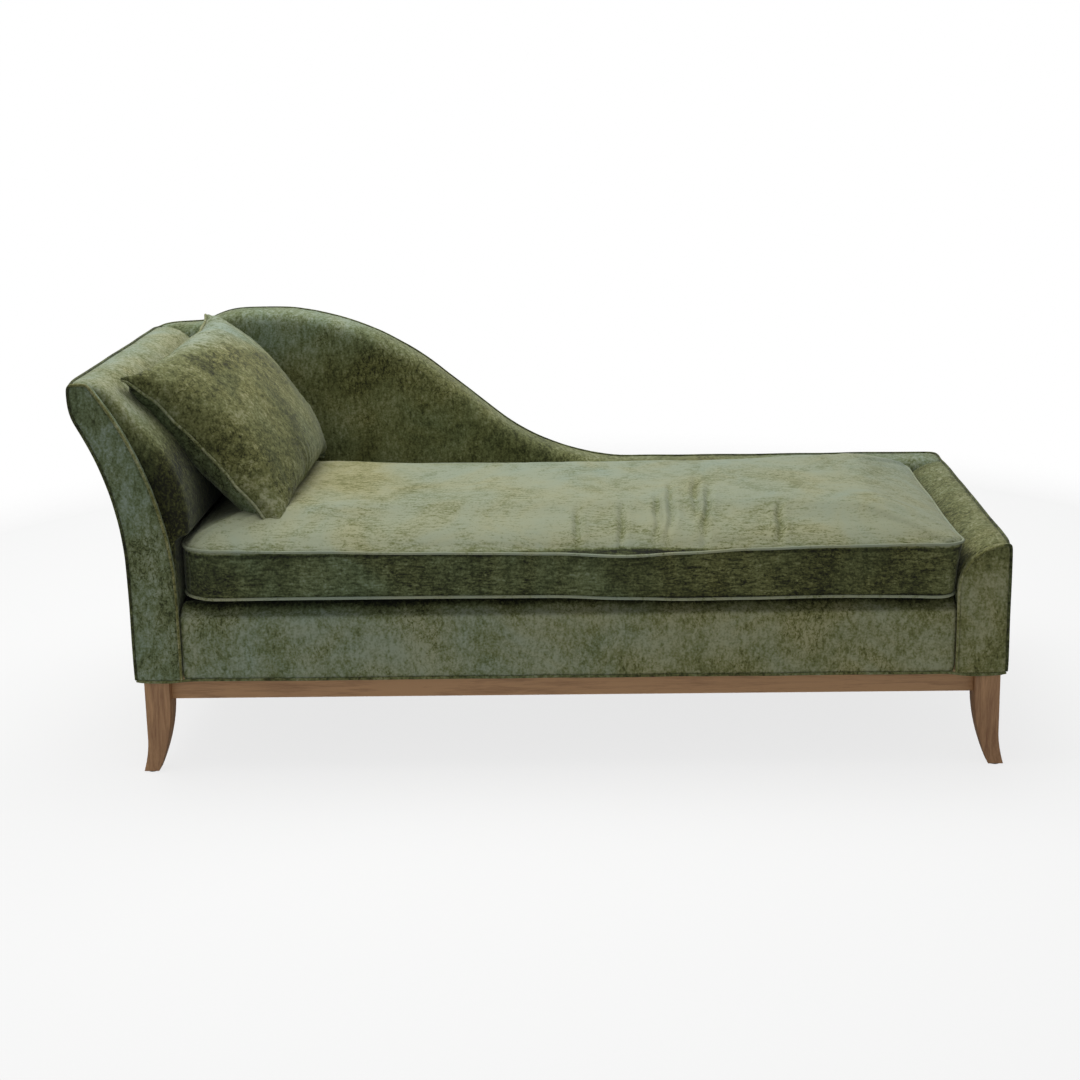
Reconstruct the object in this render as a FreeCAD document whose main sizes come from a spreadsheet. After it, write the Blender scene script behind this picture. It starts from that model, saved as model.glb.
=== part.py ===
# A chaise longue: a swept head end, a curved rear wing that falls to a low rear rail,
# a low rolled foot end, a loose seat cushion, a throw pillow and a sabre-legged wooden base.
# Millimetres. +X runs to the foot end, the front faces -Y, +Z is up.
# The origin is on the floor below the middle of the object.
import FreeCAD, Part
import Sketcher
import os
from math import atan2, cos, floor, hypot, pi, radians, sin, tan

Vector = FreeCAD.Vector
UP = Vector(0, 0, 1)
FAR = 3000  # longer than the object, for blocks that only bound a cut

# Driving sizes: name, millimetres or degrees, meaning
SIZES = [
    ("chaise_length", 1830, "head end to foot end over the cloth"),
    ("chaise_depth", 750, "front facings to rear cloth"),
    ("fit_gap", 0.3, "gap between soft layers"),
    ("cover_thickness", 3, "cloth with its backing"),
    ("welt_radius", 3, "piping cord"),
    ("base_height", 190, "floor to the lower edge of the cloth"),
    ("glide_height", 3, "nylon glide under a leg"),
    ("glide_radius", 11, "nylon glide under a leg"),
    ("rail_height", 42, "show-wood rail"),
    ("rail_thickness", 22, "show-wood rail"),
    ("rail_recess", 15, "leg face to rail face"),
    ("leg_width", 50, "leg at its top, along the length"),
    ("leg_depth", 48, "leg at its top, along the depth"),
    ("leg_toe", 30, "leg at the floor"),
    ("leg_kick", 9, "how far a toe steps out past the leg's top"),
    ("leg_kick_start", 67, "height where the outer face starts to sweep"),
    ("leg_bow_start", 146, "height where the inner face starts to sweep"),
    ("leg_setback", 8, "front facings to leg face"),
    ("rear_leg_setback", 18, "rear cloth to leg face"),
    ("leg_inset_head", 16, "head end's lower face to leg"),
    ("leg_inset_foot", 13, "foot end's face to leg"),
    ("brace_thickness", 25, "corner brace of the base"),
    ("bolt_radius", 4, "leg bolt"),
    ("bolt_length", 62, "leg bolt"),
    ("bolt_head_radius", 7.5, "leg bolt"),
    ("bolt_head_height", 5, "leg bolt"),
    ("head_height", 800, "floor to the head end's top"),
    ("head_overhang", 94, "head end's top past its lower face"),
    ("head_lean", 30, "angle of the head end's outer face from upright"),
    ("head_lean_height", 580, "height of the outer bend"),
    ("head_lean_radius", 600, "sweep of the outer bend"),
    ("head_roll_radius", 92, "round below the outer top edge"),
    ("corner_radius", 80, "upright rear corner at the head end"),
    ("pad_reach", 122, "head end's lower outer face to the inner pad"),
    ("pad_lean", 40, "angle of the inner pad from upright"),
    ("pad_bend_height", 613, "height of the inner pad's bend"),
    ("pad_bend_radius", 380, "sweep of the inner pad"),
    ("pad_crest_radius", 70, "round from the inner pad to the top"),
    ("pad_lip_height", 482, "underside of the pad over the cushion"),
    ("pad_lip_radius", 20, "round under the pad"),
    ("pad_end_radius", 16, "round of the pad towards the front facing"),
    ("facing_depth", 18, "front facing with its board"),
    ("facing_width", 94, "head facing at its foot"),
    ("facing_lean", 35, "angle of the head facing's inner edge"),
    ("facing_bend_height", 590, "height of the inner edge's bend"),
    ("facing_bend_radius", 760, "sweep of the inner edge"),
    ("facing_corner_radius", 14, "head facing's top corners"),
    ("foot_height", 458, "floor to the top of the foot end and the low rear rail"),
    ("foot_width", 102, "foot end along the length"),
    ("foot_roll_radius", 95, "round of the foot end's inner top edge"),
    ("foot_corner_radius", 25, "upright rear corner at the foot end"),
    ("wing_thickness", 85, "rear wing and rear rail"),
    ("wing_height", 832, "floor to the wing's crest"),
    ("wing_edge_radius", 30, "round of the wing's inner top edge"),
    ("wing_rise_start", 95, "head end to the bend up to the crest"),
    ("wing_rise_end", 160, "head end to the bend onto the crest"),
    ("wing_fall_start", 466, "head end to the bend down from the crest"),
    ("wing_fall_end", 922, "head end to the bend onto the low rear rail"),
    ("wing_rise_radius", 50, "bend up to the crest"),
    ("wing_crest_radius", 200, "bend onto the crest"),
    ("wing_fall_radius", 640, "bend down from the crest"),
    ("wing_tail_radius", 520, "bend onto the low rear rail"),
    ("deck_height", 345, "floor to the deck under the cushion"),
    ("apron_recess", 4, "front facings to the apron"),
    ("apron_round", 15, "apron's top edge"),
    ("apron_return", 55, "apron cloth on the deck"),
    ("frame_inset", 18, "cloth to the hidden frame"),
    ("seat_rail_height", 110, "hidden seat rail"),
    ("seat_rail_thickness", 28, "hidden seat rail"),
    ("cross_rail_height", 80, "hidden cross rail"),
    ("cross_rail_reach", 416, "middle to a cross rail"),
    ("corner_block_side", 70, "hidden corner block"),
    ("post_thickness", 22, "head and foot posts"),
    ("post_top_drop", 60, "head end's top to the head posts"),
    ("post_edge_foam", 20, "foam over the posts' upper ends"),
    ("tuck_foam", 25, "foam beside the cushion's end"),
    ("panel_thickness", 18, "plywood wing panel"),
    ("panel_top_drop", 30, "wing's top edge to its panel"),
    ("head_lower_rail_height", 350, "floor to the head end's lower rail"),
    ("head_rail_section", 24, "head end's rails"),
    ("foot_rail_width", 24, "foot end's top rail"),
    ("foot_rail_height", 40, "foot end's top rail"),
    ("screw_radius", 2.5, "frame screw"),
    ("screw_length", 70, "frame screw"),
    ("screw_drop", 30, "cross rail's top to its screw"),
    ("spring_count", 7, "sinuous springs"),
    ("spring_wire_radius", 2, "sinuous spring"),
    ("spring_width", 48, "sinuous spring over its loops"),
    ("spring_pitch", 24, "run to run along a spring"),
    ("clip_thickness", 2, "spring clip over and under the wire"),
    ("clip_length", 26, "spring clip along the wire"),
    ("clip_depth", 12, "spring clip across the wire"),
    ("dust_cover_thickness", 1, "cloth under the seat"),
    ("cushion_gap", 0.6, "cushion welt to its neighbours"),
    ("cushion_rear_gap", 4, "welts of cushion and pillow to the wing"),
    ("cushion_skirt", 16, "deck to the cushion's lower welt"),
    ("cushion_boxing", 93, "lower welt to upper welt"),
    ("cushion_crown", 48, "upper welt to the crown"),
    ("cushion_slope", 150, "how far in the crown reaches its height"),
    ("cushion_draw", 2, "how far the boxing is drawn in"),
    ("cushion_corner_radius", 42, "cushion corners seen from above"),
    ("cushion_cover_thickness", 2.5, "cushion cloth with its lining"),
    ("zip_length", 620, "zip in the rear boxing"),
    ("zip_width", 8, "zip tape"),
    ("zip_thickness", 1.2, "zip tape"),
    ("slider_length", 10, "zip slider"),
    ("slider_width", 7, "zip slider"),
    ("slider_thickness", 3, "zip slider"),
    ("pillow_width", 560, "throw pillow along the depth, without its welt"),
    ("pillow_height", 398, "throw pillow up its slope, without its welt"),
    ("pillow_front", 82, "pillow's swell to the front"),
    ("pillow_back", 34, "pillow's swell to the head end"),
    ("pillow_edge", 5, "half the pillow's thickness at its welt"),
    ("pillow_draw", 12, "how far the pillow's sides are drawn in"),
    ("pillow_corner_radius", 3.8, "pillow welt at its corners"),
    ("pillow_cover_thickness", 2, "pillow cloth"),
]

# Places that several pieces share, worked out from the sizes
PLACES = [
    ("front_y", "-Sizes.chaise_depth / 2"),
    ("rear_y", "Sizes.chaise_depth / 2"),
    ("head_x", "-Sizes.chaise_length / 2"),
    ("foot_x", "Sizes.chaise_length / 2"),
    ("notch", "Sizes.welt_radius + Sizes.fit_gap"),
    ("liner", "Sizes.cover_thickness + Sizes.fit_gap"),
    ("cover_z", "Sizes.base_height + 2 * Sizes.welt_radius + Sizes.fit_gap"),
    ("head_low_x", "head_x + Sizes.head_overhang"),
    ("facing_in_x", "head_low_x + Sizes.facing_width"),
    ("tuck_x", "facing_in_x - Sizes.welt_radius"),
    ("pad_x", "head_low_x + Sizes.pad_reach"),
    ("foot_in_x", "foot_x - Sizes.foot_width"),
    ("block_front_y", "front_y + Sizes.facing_depth"),
    ("wing_y", "rear_y - Sizes.wing_thickness"),
    ("frame_head_x", "head_low_x + Sizes.frame_inset"),
    ("frame_foot_x", "foot_x - Sizes.frame_inset"),
    ("frame_front_y", "front_y + Sizes.frame_inset"),
    ("frame_rear_y", "rear_y - Sizes.frame_inset - Sizes.panel_thickness"),
    ("seat_rail_top", "Sizes.base_height + Sizes.seat_rail_height"),
    ("rail_bottom", "Sizes.base_height - Sizes.rail_height"),
    ("leg_head_x", "head_low_x + Sizes.leg_inset_head"),
    ("leg_foot_x", "foot_x - Sizes.leg_inset_foot"),
    ("leg_front_y", "front_y + Sizes.leg_setback"),
    ("leg_rear_y", "rear_y - Sizes.rear_leg_setback"),
    ("leg_height", "Sizes.base_height - Sizes.glide_height"),
    ("brace_z", "Sizes.base_height - Sizes.rail_height / 2"),
    ("head_corner_x", "head_low_x + Sizes.corner_radius"),
    ("head_corner_y", "rear_y - Sizes.corner_radius"),
    ("clips_top", "seat_rail_top + 2 * (Sizes.clip_thickness + Sizes.spring_wire_radius)"),
    ("lower_welt_z", "Sizes.deck_height + Sizes.cushion_skirt"),
    ("upper_welt_z", "lower_welt_z + Sizes.cushion_boxing"),
]

doc = FreeCAD.newDocument("ChaiseLongue")
sheet = doc.addObject("Spreadsheet::Sheet", "Sizes")
for row, (alias, value, meaning) in enumerate(SIZES, start=1):
    sheet.set(f"A{row}", alias)
    sheet.set(f"B{row}", str(value))
    sheet.set(f"C{row}", meaning)
    sheet.setAlias(f"B{row}", alias)
doc.recompute()
places = doc.addObject("App::VarSet", "Places")
for name, expression in PLACES:
    places.addProperty("App::PropertyFloat", name, "Places")
    places.setExpression(name, expression)
doc.recompute()


class Values:
    """The sheet's sizes and the shared places, as numbers for the shaped pieces."""


s = Values()
for alias, _, _ in SIZES:
    setattr(s, alias, float(sheet.get(alias)))
for name, _ in PLACES:
    setattr(s, name, float(getattr(places, name)))

parts = []


def keep(piece, label):
    """Names a finished piece, so that it is checked and written."""
    piece.Label = label
    parts.append(piece)
    return piece


# Pieces bound to the sheet


def bind(target, **expressions):
    for prop, expression in expressions.items():
        target.setExpression(prop, expression)
    return target


def put(target, x, y, z):
    for axis, expression in (("x", x), ("y", y), ("z", z)):
        target.setExpression(f"Placement.Base.{axis}", expression)
    return target


def board(name, x0, x1, y0, y1, z0, z1):
    """A straight board between six planes, each given as an expression."""
    box = doc.addObject("Part::Box", name)
    bind(box, Length=f"({x1}) - ({x0})", Width=f"({y1}) - ({y0})", Height=f"({z1}) - ({z0})")
    return put(box, x0, y0, z0)


def rod(name, radius, length, x, y, z, axis, angle):
    """A round bar from a point, turned from upright about an axis."""
    bar = doc.addObject("Part::Cylinder", name)
    bind(bar, Radius=radius, Height=length)
    bar.Placement = FreeCAD.Placement(Vector(), FreeCAD.Rotation(axis, angle))
    return put(bar, x, y, z)


def group(name, members):
    compound = doc.addObject("Part::Compound", name)
    compound.Links = members
    return compound


def cut(name, base, tool):
    piece = doc.addObject("Part::Cut", name)
    piece.Base = base
    piece.Tool = tool
    return piece


def mirrored(name, source, normal, base_x="0"):
    copy = doc.addObject("Part::Mirroring", name)
    copy.Source = source
    copy.Normal = normal
    copy.setExpression("Base.x", base_x)
    return copy


def shaped(name, shape):
    """A piece whose curved form is worked out below."""
    piece = doc.addObject("Part::Feature", name)
    piece.Shape = shape
    return piece


# Outlines with rounded corners


def inset(points, amounts):
    """Moves each side of a closed outline inwards; rounds shrink or grow to stay parallel."""
    count = len(points)
    if not isinstance(amounts, list):
        amounts = [amounts] * count
    area = sum(
        points[i][0] * points[(i + 1) % count][1] - points[(i + 1) % count][0] * points[i][1]
        for i in range(count)
    )
    turn = 1 if area > 0 else -1
    sides = []
    for i in range(count):
        ax, az = points[i][:2]
        bx, bz = points[(i + 1) % count][:2]
        length = hypot(bx - ax, bz - az)
        dx = (bx - ax) / length
        dz = (bz - az) / length
        shift = amounts[i] * turn
        sides.append((ax - dz * shift, az + dx * shift, dx, dz))
    moved = []
    for i in range(count):
        ax, az, adx, adz = sides[i - 1]
        bx, bz, bdx, bdz = sides[i]
        cross = adx * bdz - adz * bdx
        along = ((bx - ax) * bdz - (bz - az) * bdx) / cross
        radius = points[i][2]
        if radius:
            step = (amounts[i - 1] + amounts[i]) / 2
            radius = max(radius - step if cross * turn > 0 else radius + step, 0)
        moved.append((ax + adx * along, az + adz * along, radius))
    return moved


def rounded(points, place, closed=True):
    """Edges through a list of (a, b, radius) corners; a round is limited by its sides."""
    count = len(points)
    flat = [Vector(a, b, 0) for a, b, _ in points]
    ends = not closed
    tangent = [0.0] * count
    ratio = [0.0] * count
    for i in range(count):
        if points[i][2] <= 0 or (ends and i in (0, count - 1)):
            continue
        before = (flat[i] - flat[i - 1]).normalize()
        after = (flat[(i + 1) % count] - flat[i]).normalize()
        ratio[i] = tan(before.getAngle(after) / 2)
        tangent[i] = points[i][2] * ratio[i]
    for i in range(count if closed else count - 1):
        j = (i + 1) % count
        room = (flat[j] - flat[i]).Length / (tangent[i] + tangent[j] + 1e-9)
        if room < 1:
            tangent[i] *= room * 0.999
            tangent[j] *= room * 0.999
    edges = []
    stops = []
    for i in range(count):
        corner = flat[i]
        if tangent[i] == 0:
            stops.append((corner, corner))
            continue
        before = (corner - flat[i - 1]).normalize()
        after = (flat[(i + 1) % count] - corner).normalize()
        radius = tangent[i] / ratio[i]
        inwards = (after - before).normalize()
        middle = corner + inwards * (radius / cos(before.getAngle(after) / 2) - radius)
        start = corner - before * tangent[i]
        end = corner + after * tangent[i]
        stops.append((start, end))
        edges.append((i, Part.Arc(*[place(p.x, p.y) for p in (start, middle, end)]).toShape()))
    for i in range(count if closed else count - 1):
        start = stops[i][1]
        end = stops[(i + 1) % count][0]
        if (end - start).Length > 1e-6:
            edges.append((i + 0.5, Part.makeLine(place(start.x, start.y), place(end.x, end.y))))
    return [edge for _, edge in sorted(edges, key=lambda item: item[0])]


def side_on(y):
    return lambda a, b: Vector(a, y, b)


def from_above(z):
    return lambda a, b: Vector(a, b, z)


def prism(points, y0, y1):
    """An outline seen from the front, drawn out along the depth."""
    face = Part.Face(Part.Wire(rounded(points, side_on(y0))))
    return face.extrude(Vector(0, y1 - y0, 0))


def block(x0, x1, y0, y1, z0, z1):
    return Part.makeBox(x1 - x0, y1 - y0, z1 - z0, Vector(x0, y0, z0))


def above(z):
    return block(-FAR, FAR, -FAR, FAR, z, FAR)


def cord(edges, radius):
    """A round cord along joined edges that run on smoothly."""
    path = Part.Wire(edges)
    start = path.OrderedVertexes[0].Point
    first = path.OrderedEdges[0]
    at_start = first.firstVertex(True).Point.distanceToPoint(start) < 1e-6
    heading = first.tangentAt(first.FirstParameter if at_start else first.LastParameter)
    ring = Part.Wire(Part.makeCircle(radius, start, heading))
    return path.makePipeShell([ring], True, False)


# The upholstered body's outlines, seen from the front


lean_tan = tan(radians(s.head_lean))
roll_z = s.head_lean_height + s.head_overhang / lean_tan
HEAD_OUTSIDE = [
    (s.head_low_x, s.base_height, 0),
    (s.head_low_x, s.head_lean_height, s.head_lean_radius),
    (s.head_x, roll_z, s.head_roll_radius),
]
pad_tan = tan(radians(s.pad_lean))
crest_x = s.pad_x - (s.head_height - s.pad_bend_height) * pad_tan
HEAD = HEAD_OUTSIDE + [
    (s.head_x, s.head_height, 0),
    (crest_x, s.head_height, s.pad_crest_radius),
    (s.pad_x, s.pad_bend_height, s.pad_bend_radius),
    (s.pad_x, s.pad_lip_height, s.pad_lip_radius),
    (s.tuck_x, s.pad_lip_height, 0),
    (s.tuck_x, s.base_height, 0),
]
facing_tan = tan(radians(s.facing_lean))
facing_top_x = s.facing_in_x - (s.head_height - s.facing_bend_height) * facing_tan
HEAD_FACING = HEAD_OUTSIDE + [
    (s.head_x, s.head_height, s.facing_corner_radius),
    (facing_top_x, s.head_height, s.facing_corner_radius),
    (s.facing_in_x, s.facing_bend_height, s.facing_bend_radius),
    (s.facing_in_x, s.base_height, 0),
]
FOOT = [
    (s.foot_in_x, s.base_height, 0),
    (s.foot_in_x, s.foot_height, s.foot_roll_radius),
    (s.foot_x, s.foot_height, 0),
    (s.foot_x, s.base_height, 0),
]
WING_TOP = [
    (s.head_x + s.wing_rise_start, s.head_height, s.wing_rise_radius),
    (s.head_x + s.wing_rise_end, s.wing_height, s.wing_crest_radius),
    (s.head_x + s.wing_fall_start, s.wing_height, s.wing_fall_radius),
    (s.head_x + s.wing_fall_end, s.foot_height, s.wing_tail_radius),
]
WING = HEAD_OUTSIDE + [(s.head_x, s.head_height, 0)] + WING_TOP + [
    (s.foot_x, s.foot_height, 0),
    (s.foot_x, s.base_height, 0),
]


def body_block(t):
    """The outer form of head end, rear and foot end, drawn in by t, open at front, top and foot."""
    outline = [
        (s.head_low_x, -FAR, 0),
        HEAD_OUTSIDE[1],
        HEAD_OUTSIDE[2],
        (s.head_x, FAR, 0),
        (s.foot_x, FAR, 0),
        (s.foot_x, -FAR, 0),
    ]
    solid = prism(inset(outline, t), -FAR, s.rear_y - t)
    upright = [
        edge for edge in solid.Edges
        if edge.BoundBox.YMin > s.rear_y - t - 1 and edge.BoundBox.ZLength > 1
    ]
    head_side = [edge for edge in upright if edge.BoundBox.XMax < 0]
    solid = solid.makeFillet(s.corner_radius - t, head_side)
    foot_side = [
        edge for edge in solid.Edges
        if edge.BoundBox.YMin > s.rear_y - t - 1
        and edge.BoundBox.ZLength > 1
        and edge.BoundBox.XMin > s.foot_x - t - 1
    ]
    return solid.makeFillet(s.foot_corner_radius - t, foot_side)


body_0 = body_block(0)
body_notch = body_block(s.notch)
body_cover = body_block(s.cover_thickness)
body_liner = body_block(s.liner)
body_frame = body_block(s.frame_inset)
seat_liner_z = s.seat_rail_top + s.fit_gap


def head_block(t):
    """The head end behind its facing, drawn in by t."""
    amounts = [t] * len(HEAD)
    if t:
        amounts[-1] = -FAR
    solid = prism(inset(HEAD, amounts), s.block_front_y + t, s.wing_y)
    inner_edges = [
        edge for edge in solid.Edges
        if edge.BoundBox.YMax < s.block_front_y + t + 1
        and edge.CenterOfMass.x > crest_x - s.pad_crest_radius
        and edge.CenterOfMass.z > s.pad_lip_height + t + 1
        and edge.BoundBox.ZLength > 1
    ]
    return solid.makeFillet(s.pad_end_radius - t, inner_edges)


def foot_block(t):
    amounts = [t] * len(FOOT)
    if t:
        amounts[-1] = -FAR
    return prism(inset(FOOT, amounts), s.block_front_y + t, s.wing_y)


def wing_block(t):
    """The wing with the low rear rail, drawn in by t at its inner face and top."""
    amounts = [t] * len(WING)
    if t:
        amounts[-1] = -FAR
    solid = prism(inset(WING, amounts), s.wing_y + t, s.rear_y)
    inner_top = [
        edge for edge in solid.Edges
        if edge.BoundBox.YMax < s.wing_y + t + 1
        and edge.BoundBox.ZMin > s.foot_height - t - 1
        and edge.CenterOfMass.x > s.head_x + s.wing_edge_radius
        and edge.CenterOfMass.x < s.foot_x - t - 1
    ]
    return solid.makeFillet(s.wing_edge_radius - t, inner_top)


# Covers of the body: outside cloth, inside cloth over the padding, front facings


def outside_cloth(region):
    return body_0.cut(body_cover).common(region)


def make_outside_covers():
    front = s.front_y + s.notch
    head_region = block(-FAR, 0, front, s.head_corner_y, s.cover_z, s.head_height - s.notch)
    foot_region = block(0, FAR, front, s.head_corner_y, s.cover_z, s.foot_height - s.notch)
    wider = -s.corner_radius
    amounts = [wider] * 3 + [s.notch] * (len(WING) - 5) + [wider, s.cover_z - s.base_height]
    rear_region = prism(inset(WING, amounts), s.head_corner_y, FAR)
    keep(shaped("HeadOutside", outside_cloth(head_region)), "head_outside_cover")
    keep(shaped("FootOutside", outside_cloth(foot_region)), "foot_outside_cover")
    keep(shaped("RearOutside", outside_cloth(rear_region)), "rear_outside_cover")


def inside_cloth(outer, inner, z):
    return outer.common(body_notch).cut(inner).common(above(z))


def make_inside_covers():
    t = s.cover_thickness
    head = inside_cloth(head_block(0), head_block(t), seat_liner_z)
    foot = inside_cloth(foot_block(0), foot_block(t), seat_liner_z)
    wing = inside_cloth(wing_block(0), wing_block(t), s.clips_top + s.fit_gap)
    keep(shaped("HeadInside", head), "head_inside_cover")
    keep(shaped("FootInside", foot), "foot_inside_cover")
    keep(shaped("WingInside", wing), "wing_inside_cover")


def make_facing(outline, end, flush_sides):
    """A front facing: cloth, the padded board behind it and the cord round its edge."""
    notch = [s.notch] * len(outline)
    notch[-1] = s.cover_z - s.base_height
    cloth = prism(inset(outline, notch), s.front_y, s.front_y + s.cover_thickness)
    padded = [s.liner] * len(outline)
    padded[-1] = 0
    for side in flush_sides:
        padded[side] = 0
    pad = prism(inset(outline, padded), s.front_y + s.liner, s.block_front_y)
    keep(shaped(f"{end}FacingCloth", cloth), f"{end.lower()}_front_facing")
    keep(shaped(f"{end}FacingPad", pad), f"{end.lower()}_facing_pad")
    path = [(outline[0][0], s.cover_z, 0)] + outline[1:-1] + [(outline[-1][0], s.cover_z, 0)]
    edges = rounded(path, side_on(s.front_y), closed=False)
    keep(shaped(f"{end}FacingWelt", cord(edges, s.welt_radius)), f"{end.lower()}_facing_welt")


def top_edge_cord():
    """The cord on the outer top edge: head end, wing, low rear rail and foot end in one run."""
    start_y = s.front_y + 2 * s.welt_radius + s.fit_gap
    head_run = [(s.head_x, start_y, 0), (s.head_x, s.rear_y, s.corner_radius),
                (s.head_x + s.corner_radius + 1, s.rear_y, 0)]
    wing_run = [(s.head_x + s.corner_radius + 1, s.head_height, 0)] + WING_TOP
    wing_run.append((s.foot_x - s.foot_corner_radius - 1, s.foot_height, 0))
    foot_run = [(s.foot_x - s.foot_corner_radius - 1, s.rear_y, 0),
                (s.foot_x, s.rear_y, s.foot_corner_radius), (s.foot_x, start_y, 0)]
    edges = rounded(head_run, from_above(s.head_height), closed=False)
    edges += rounded(wing_run, side_on(s.rear_y), closed=False)
    edges += rounded(foot_run, from_above(s.foot_height), closed=False)
    return cord(edges, s.welt_radius)


def bottom_cord():
    """The cord on the lower edge: a straight front run and one run round the other sides."""
    z = s.base_height + s.welt_radius
    start_y = s.front_y + s.notch
    run = [(s.head_low_x, start_y, 0), (s.head_low_x, s.rear_y, s.corner_radius),
           (s.foot_x, s.rear_y, s.foot_corner_radius), (s.foot_x, start_y, 0)]
    around = cord(rounded(run, from_above(z), closed=False), s.welt_radius)
    left = Vector(s.head_low_x - s.welt_radius, s.front_y, z)
    front = Part.makeCylinder(s.welt_radius, s.foot_x - s.head_low_x + 2 * s.welt_radius,
                              left, Vector(1, 0, 0))
    return Part.makeCompound([around, front])


# Hidden frame and padding of the head end, wing and foot end


def head_frame_outline(grow):
    """The space of the head posts; grow widens it for the hollow in the foam."""
    top = s.head_height - s.post_top_drop
    lean_x = s.head_low_x - (top - s.head_lean_height) * lean_tan
    slope_x = s.tuck_x - (top - s.pad_bend_height) * pad_tan
    outline = [
        (s.head_low_x, s.seat_rail_top, 0),
        (s.head_low_x, s.head_lean_height, s.head_lean_radius),
        (lean_x, top, 0),
        (slope_x, top, 0),
        (s.tuck_x, s.pad_bend_height, s.pad_bend_radius),
        (s.tuck_x, s.seat_rail_top, 0),
    ]
    outer = s.frame_inset - grow
    inner = s.tuck_foam - grow
    below = -FAR if grow else 0
    return inset(outline, [outer, outer, s.post_edge_foam - grow, inner, inner, below])


def foot_frame_outline(grow):
    inner = s.tuck_foam - grow
    outer = s.frame_inset - grow
    outline = [(a, max(b, s.seat_rail_top), r) for a, b, r in FOOT]
    return inset(outline, [inner, inner, outer, -FAR if grow else 0])


def wing_panel_outline(grow):
    side = s.frame_inset - grow
    top = s.panel_top_drop - grow
    below = -FAR if grow else 0
    return inset(WING, [side] * 3 + [top] * (len(WING) - 5) + [side, below])


def make_posts():
    front = s.block_front_y + s.liner
    rear = s.wing_y - s.fit_gap - s.post_thickness
    for end, outline in (("Head", head_frame_outline(0)), ("Foot", foot_frame_outline(0))):
        pair = [prism(outline, y, y + s.post_thickness) for y in (front, rear)]
        keep(shaped(f"{end}Posts", Part.makeCompound(pair)), f"{end.lower()}_posts")


def make_padding():
    head_hollow = prism(head_frame_outline(s.fit_gap), s.block_front_y, s.rear_y)
    foot_hollow = prism(foot_frame_outline(s.fit_gap), s.block_front_y, s.rear_y)
    over_rails = above(seat_liner_z)
    over_clips = above(s.clips_top + s.fit_gap)
    head = head_block(s.liner).common(body_liner).cut(head_hollow).common(over_rails)
    foot = foot_block(s.liner).common(body_liner).cut(foot_hollow).common(over_rails)
    panel_rear = s.rear_y - s.frame_inset
    panel_front = panel_rear - s.panel_thickness
    slot = prism(wing_panel_outline(s.fit_gap), panel_front - s.fit_gap, panel_rear + s.fit_gap)
    wing = wing_block(s.liner).common(body_liner).cut(slot).common(over_clips)
    keep(shaped("HeadFoam", head), "head_foam")
    keep(shaped("FootFoam", foot), "foot_foam")
    keep(shaped("WingFoam", wing), "wing_foam")
    panel = prism(wing_panel_outline(0), panel_front, panel_rear).common(body_frame)
    keep(shaped("WingPanel", panel), "wing_panel")
    band = body_liner.cut(body_block(s.frame_inset - s.fit_gap))
    foot_turn = s.foot_x - s.foot_corner_radius
    strips = [
        (-FAR, 0, s.block_front_y, s.head_corner_y),
        (-FAR, s.head_corner_x, s.head_corner_y, FAR),
        (s.head_corner_x, foot_turn, s.head_corner_y, FAR),
        (foot_turn, FAR, s.block_front_y, FAR),
    ]
    wadding = [band.common(block(*strip, s.base_height, s.seat_rail_top)) for strip in strips]
    keep(shaped("SkirtWadding", Part.makeCompound(wadding)), "skirt_wadding")


# Apron and deck


def along_length(points, x0, x1):
    """An outline seen from the end, drawn out along the length."""
    face = Part.Face(Part.Wire(rounded(points, lambda a, b: Vector(x0, a, b))))
    return face.extrude(Vector(x1 - x0, 0, 0))


def make_apron():
    y = s.front_y + s.apron_recess
    t = s.cover_thickness
    back = y + s.apron_return
    x0 = s.facing_in_x + s.fit_gap
    x1 = s.foot_in_x - s.fit_gap
    cloth = [
        (y, s.cover_z, 0),
        (y, s.deck_height, s.apron_round),
        (back, s.deck_height, 0),
        (back, s.deck_height - t, 0),
        (y + t, s.deck_height - t, s.apron_round - t),
        (y + t, s.cover_z, 0),
    ]
    keep(shaped("ApronCloth", along_length(cloth, x0, x1)), "front_apron")
    inner_y = y + s.liner
    pad_top = s.deck_height - s.liner
    rail_back = s.frame_front_y + s.seat_rail_thickness
    over_clips = s.clips_top + s.fit_gap
    roll = [
        (inner_y, s.base_height, 0),
        (inner_y, pad_top, s.apron_round - s.liner),
        (rail_back, pad_top, 0),
        (rail_back, over_clips, 0),
        (s.frame_front_y, over_clips, 0),
        (s.frame_front_y, s.base_height, 0),
    ]
    keep(shaped("ApronRoll", along_length(roll, x0, x1)), "apron_edge_roll")


def make_deck():
    back = "Places.front_y + Sizes.apron_recess + Sizes.apron_return"
    deck_x = ("Places.tuck_x + Sizes.fit_gap", "Places.foot_in_x - Sizes.fit_gap")
    rear = "Places.wing_y - Sizes.fit_gap"
    under = "Sizes.deck_height - Sizes.cover_thickness"
    cloth = board("DeckCloth", *deck_x, back, rear, under, "Sizes.deck_height")
    keep(cloth, "deck_cover")
    rail_back = "Places.frame_front_y + Sizes.seat_rail_thickness + Sizes.fit_gap"
    over_clips = "Places.clips_top + Sizes.fit_gap"
    pad_top = f"{under} - Sizes.fit_gap"
    keep(board("DeckPad", *deck_x, rail_back, rear, over_clips, pad_top), "deck_pad")


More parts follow.
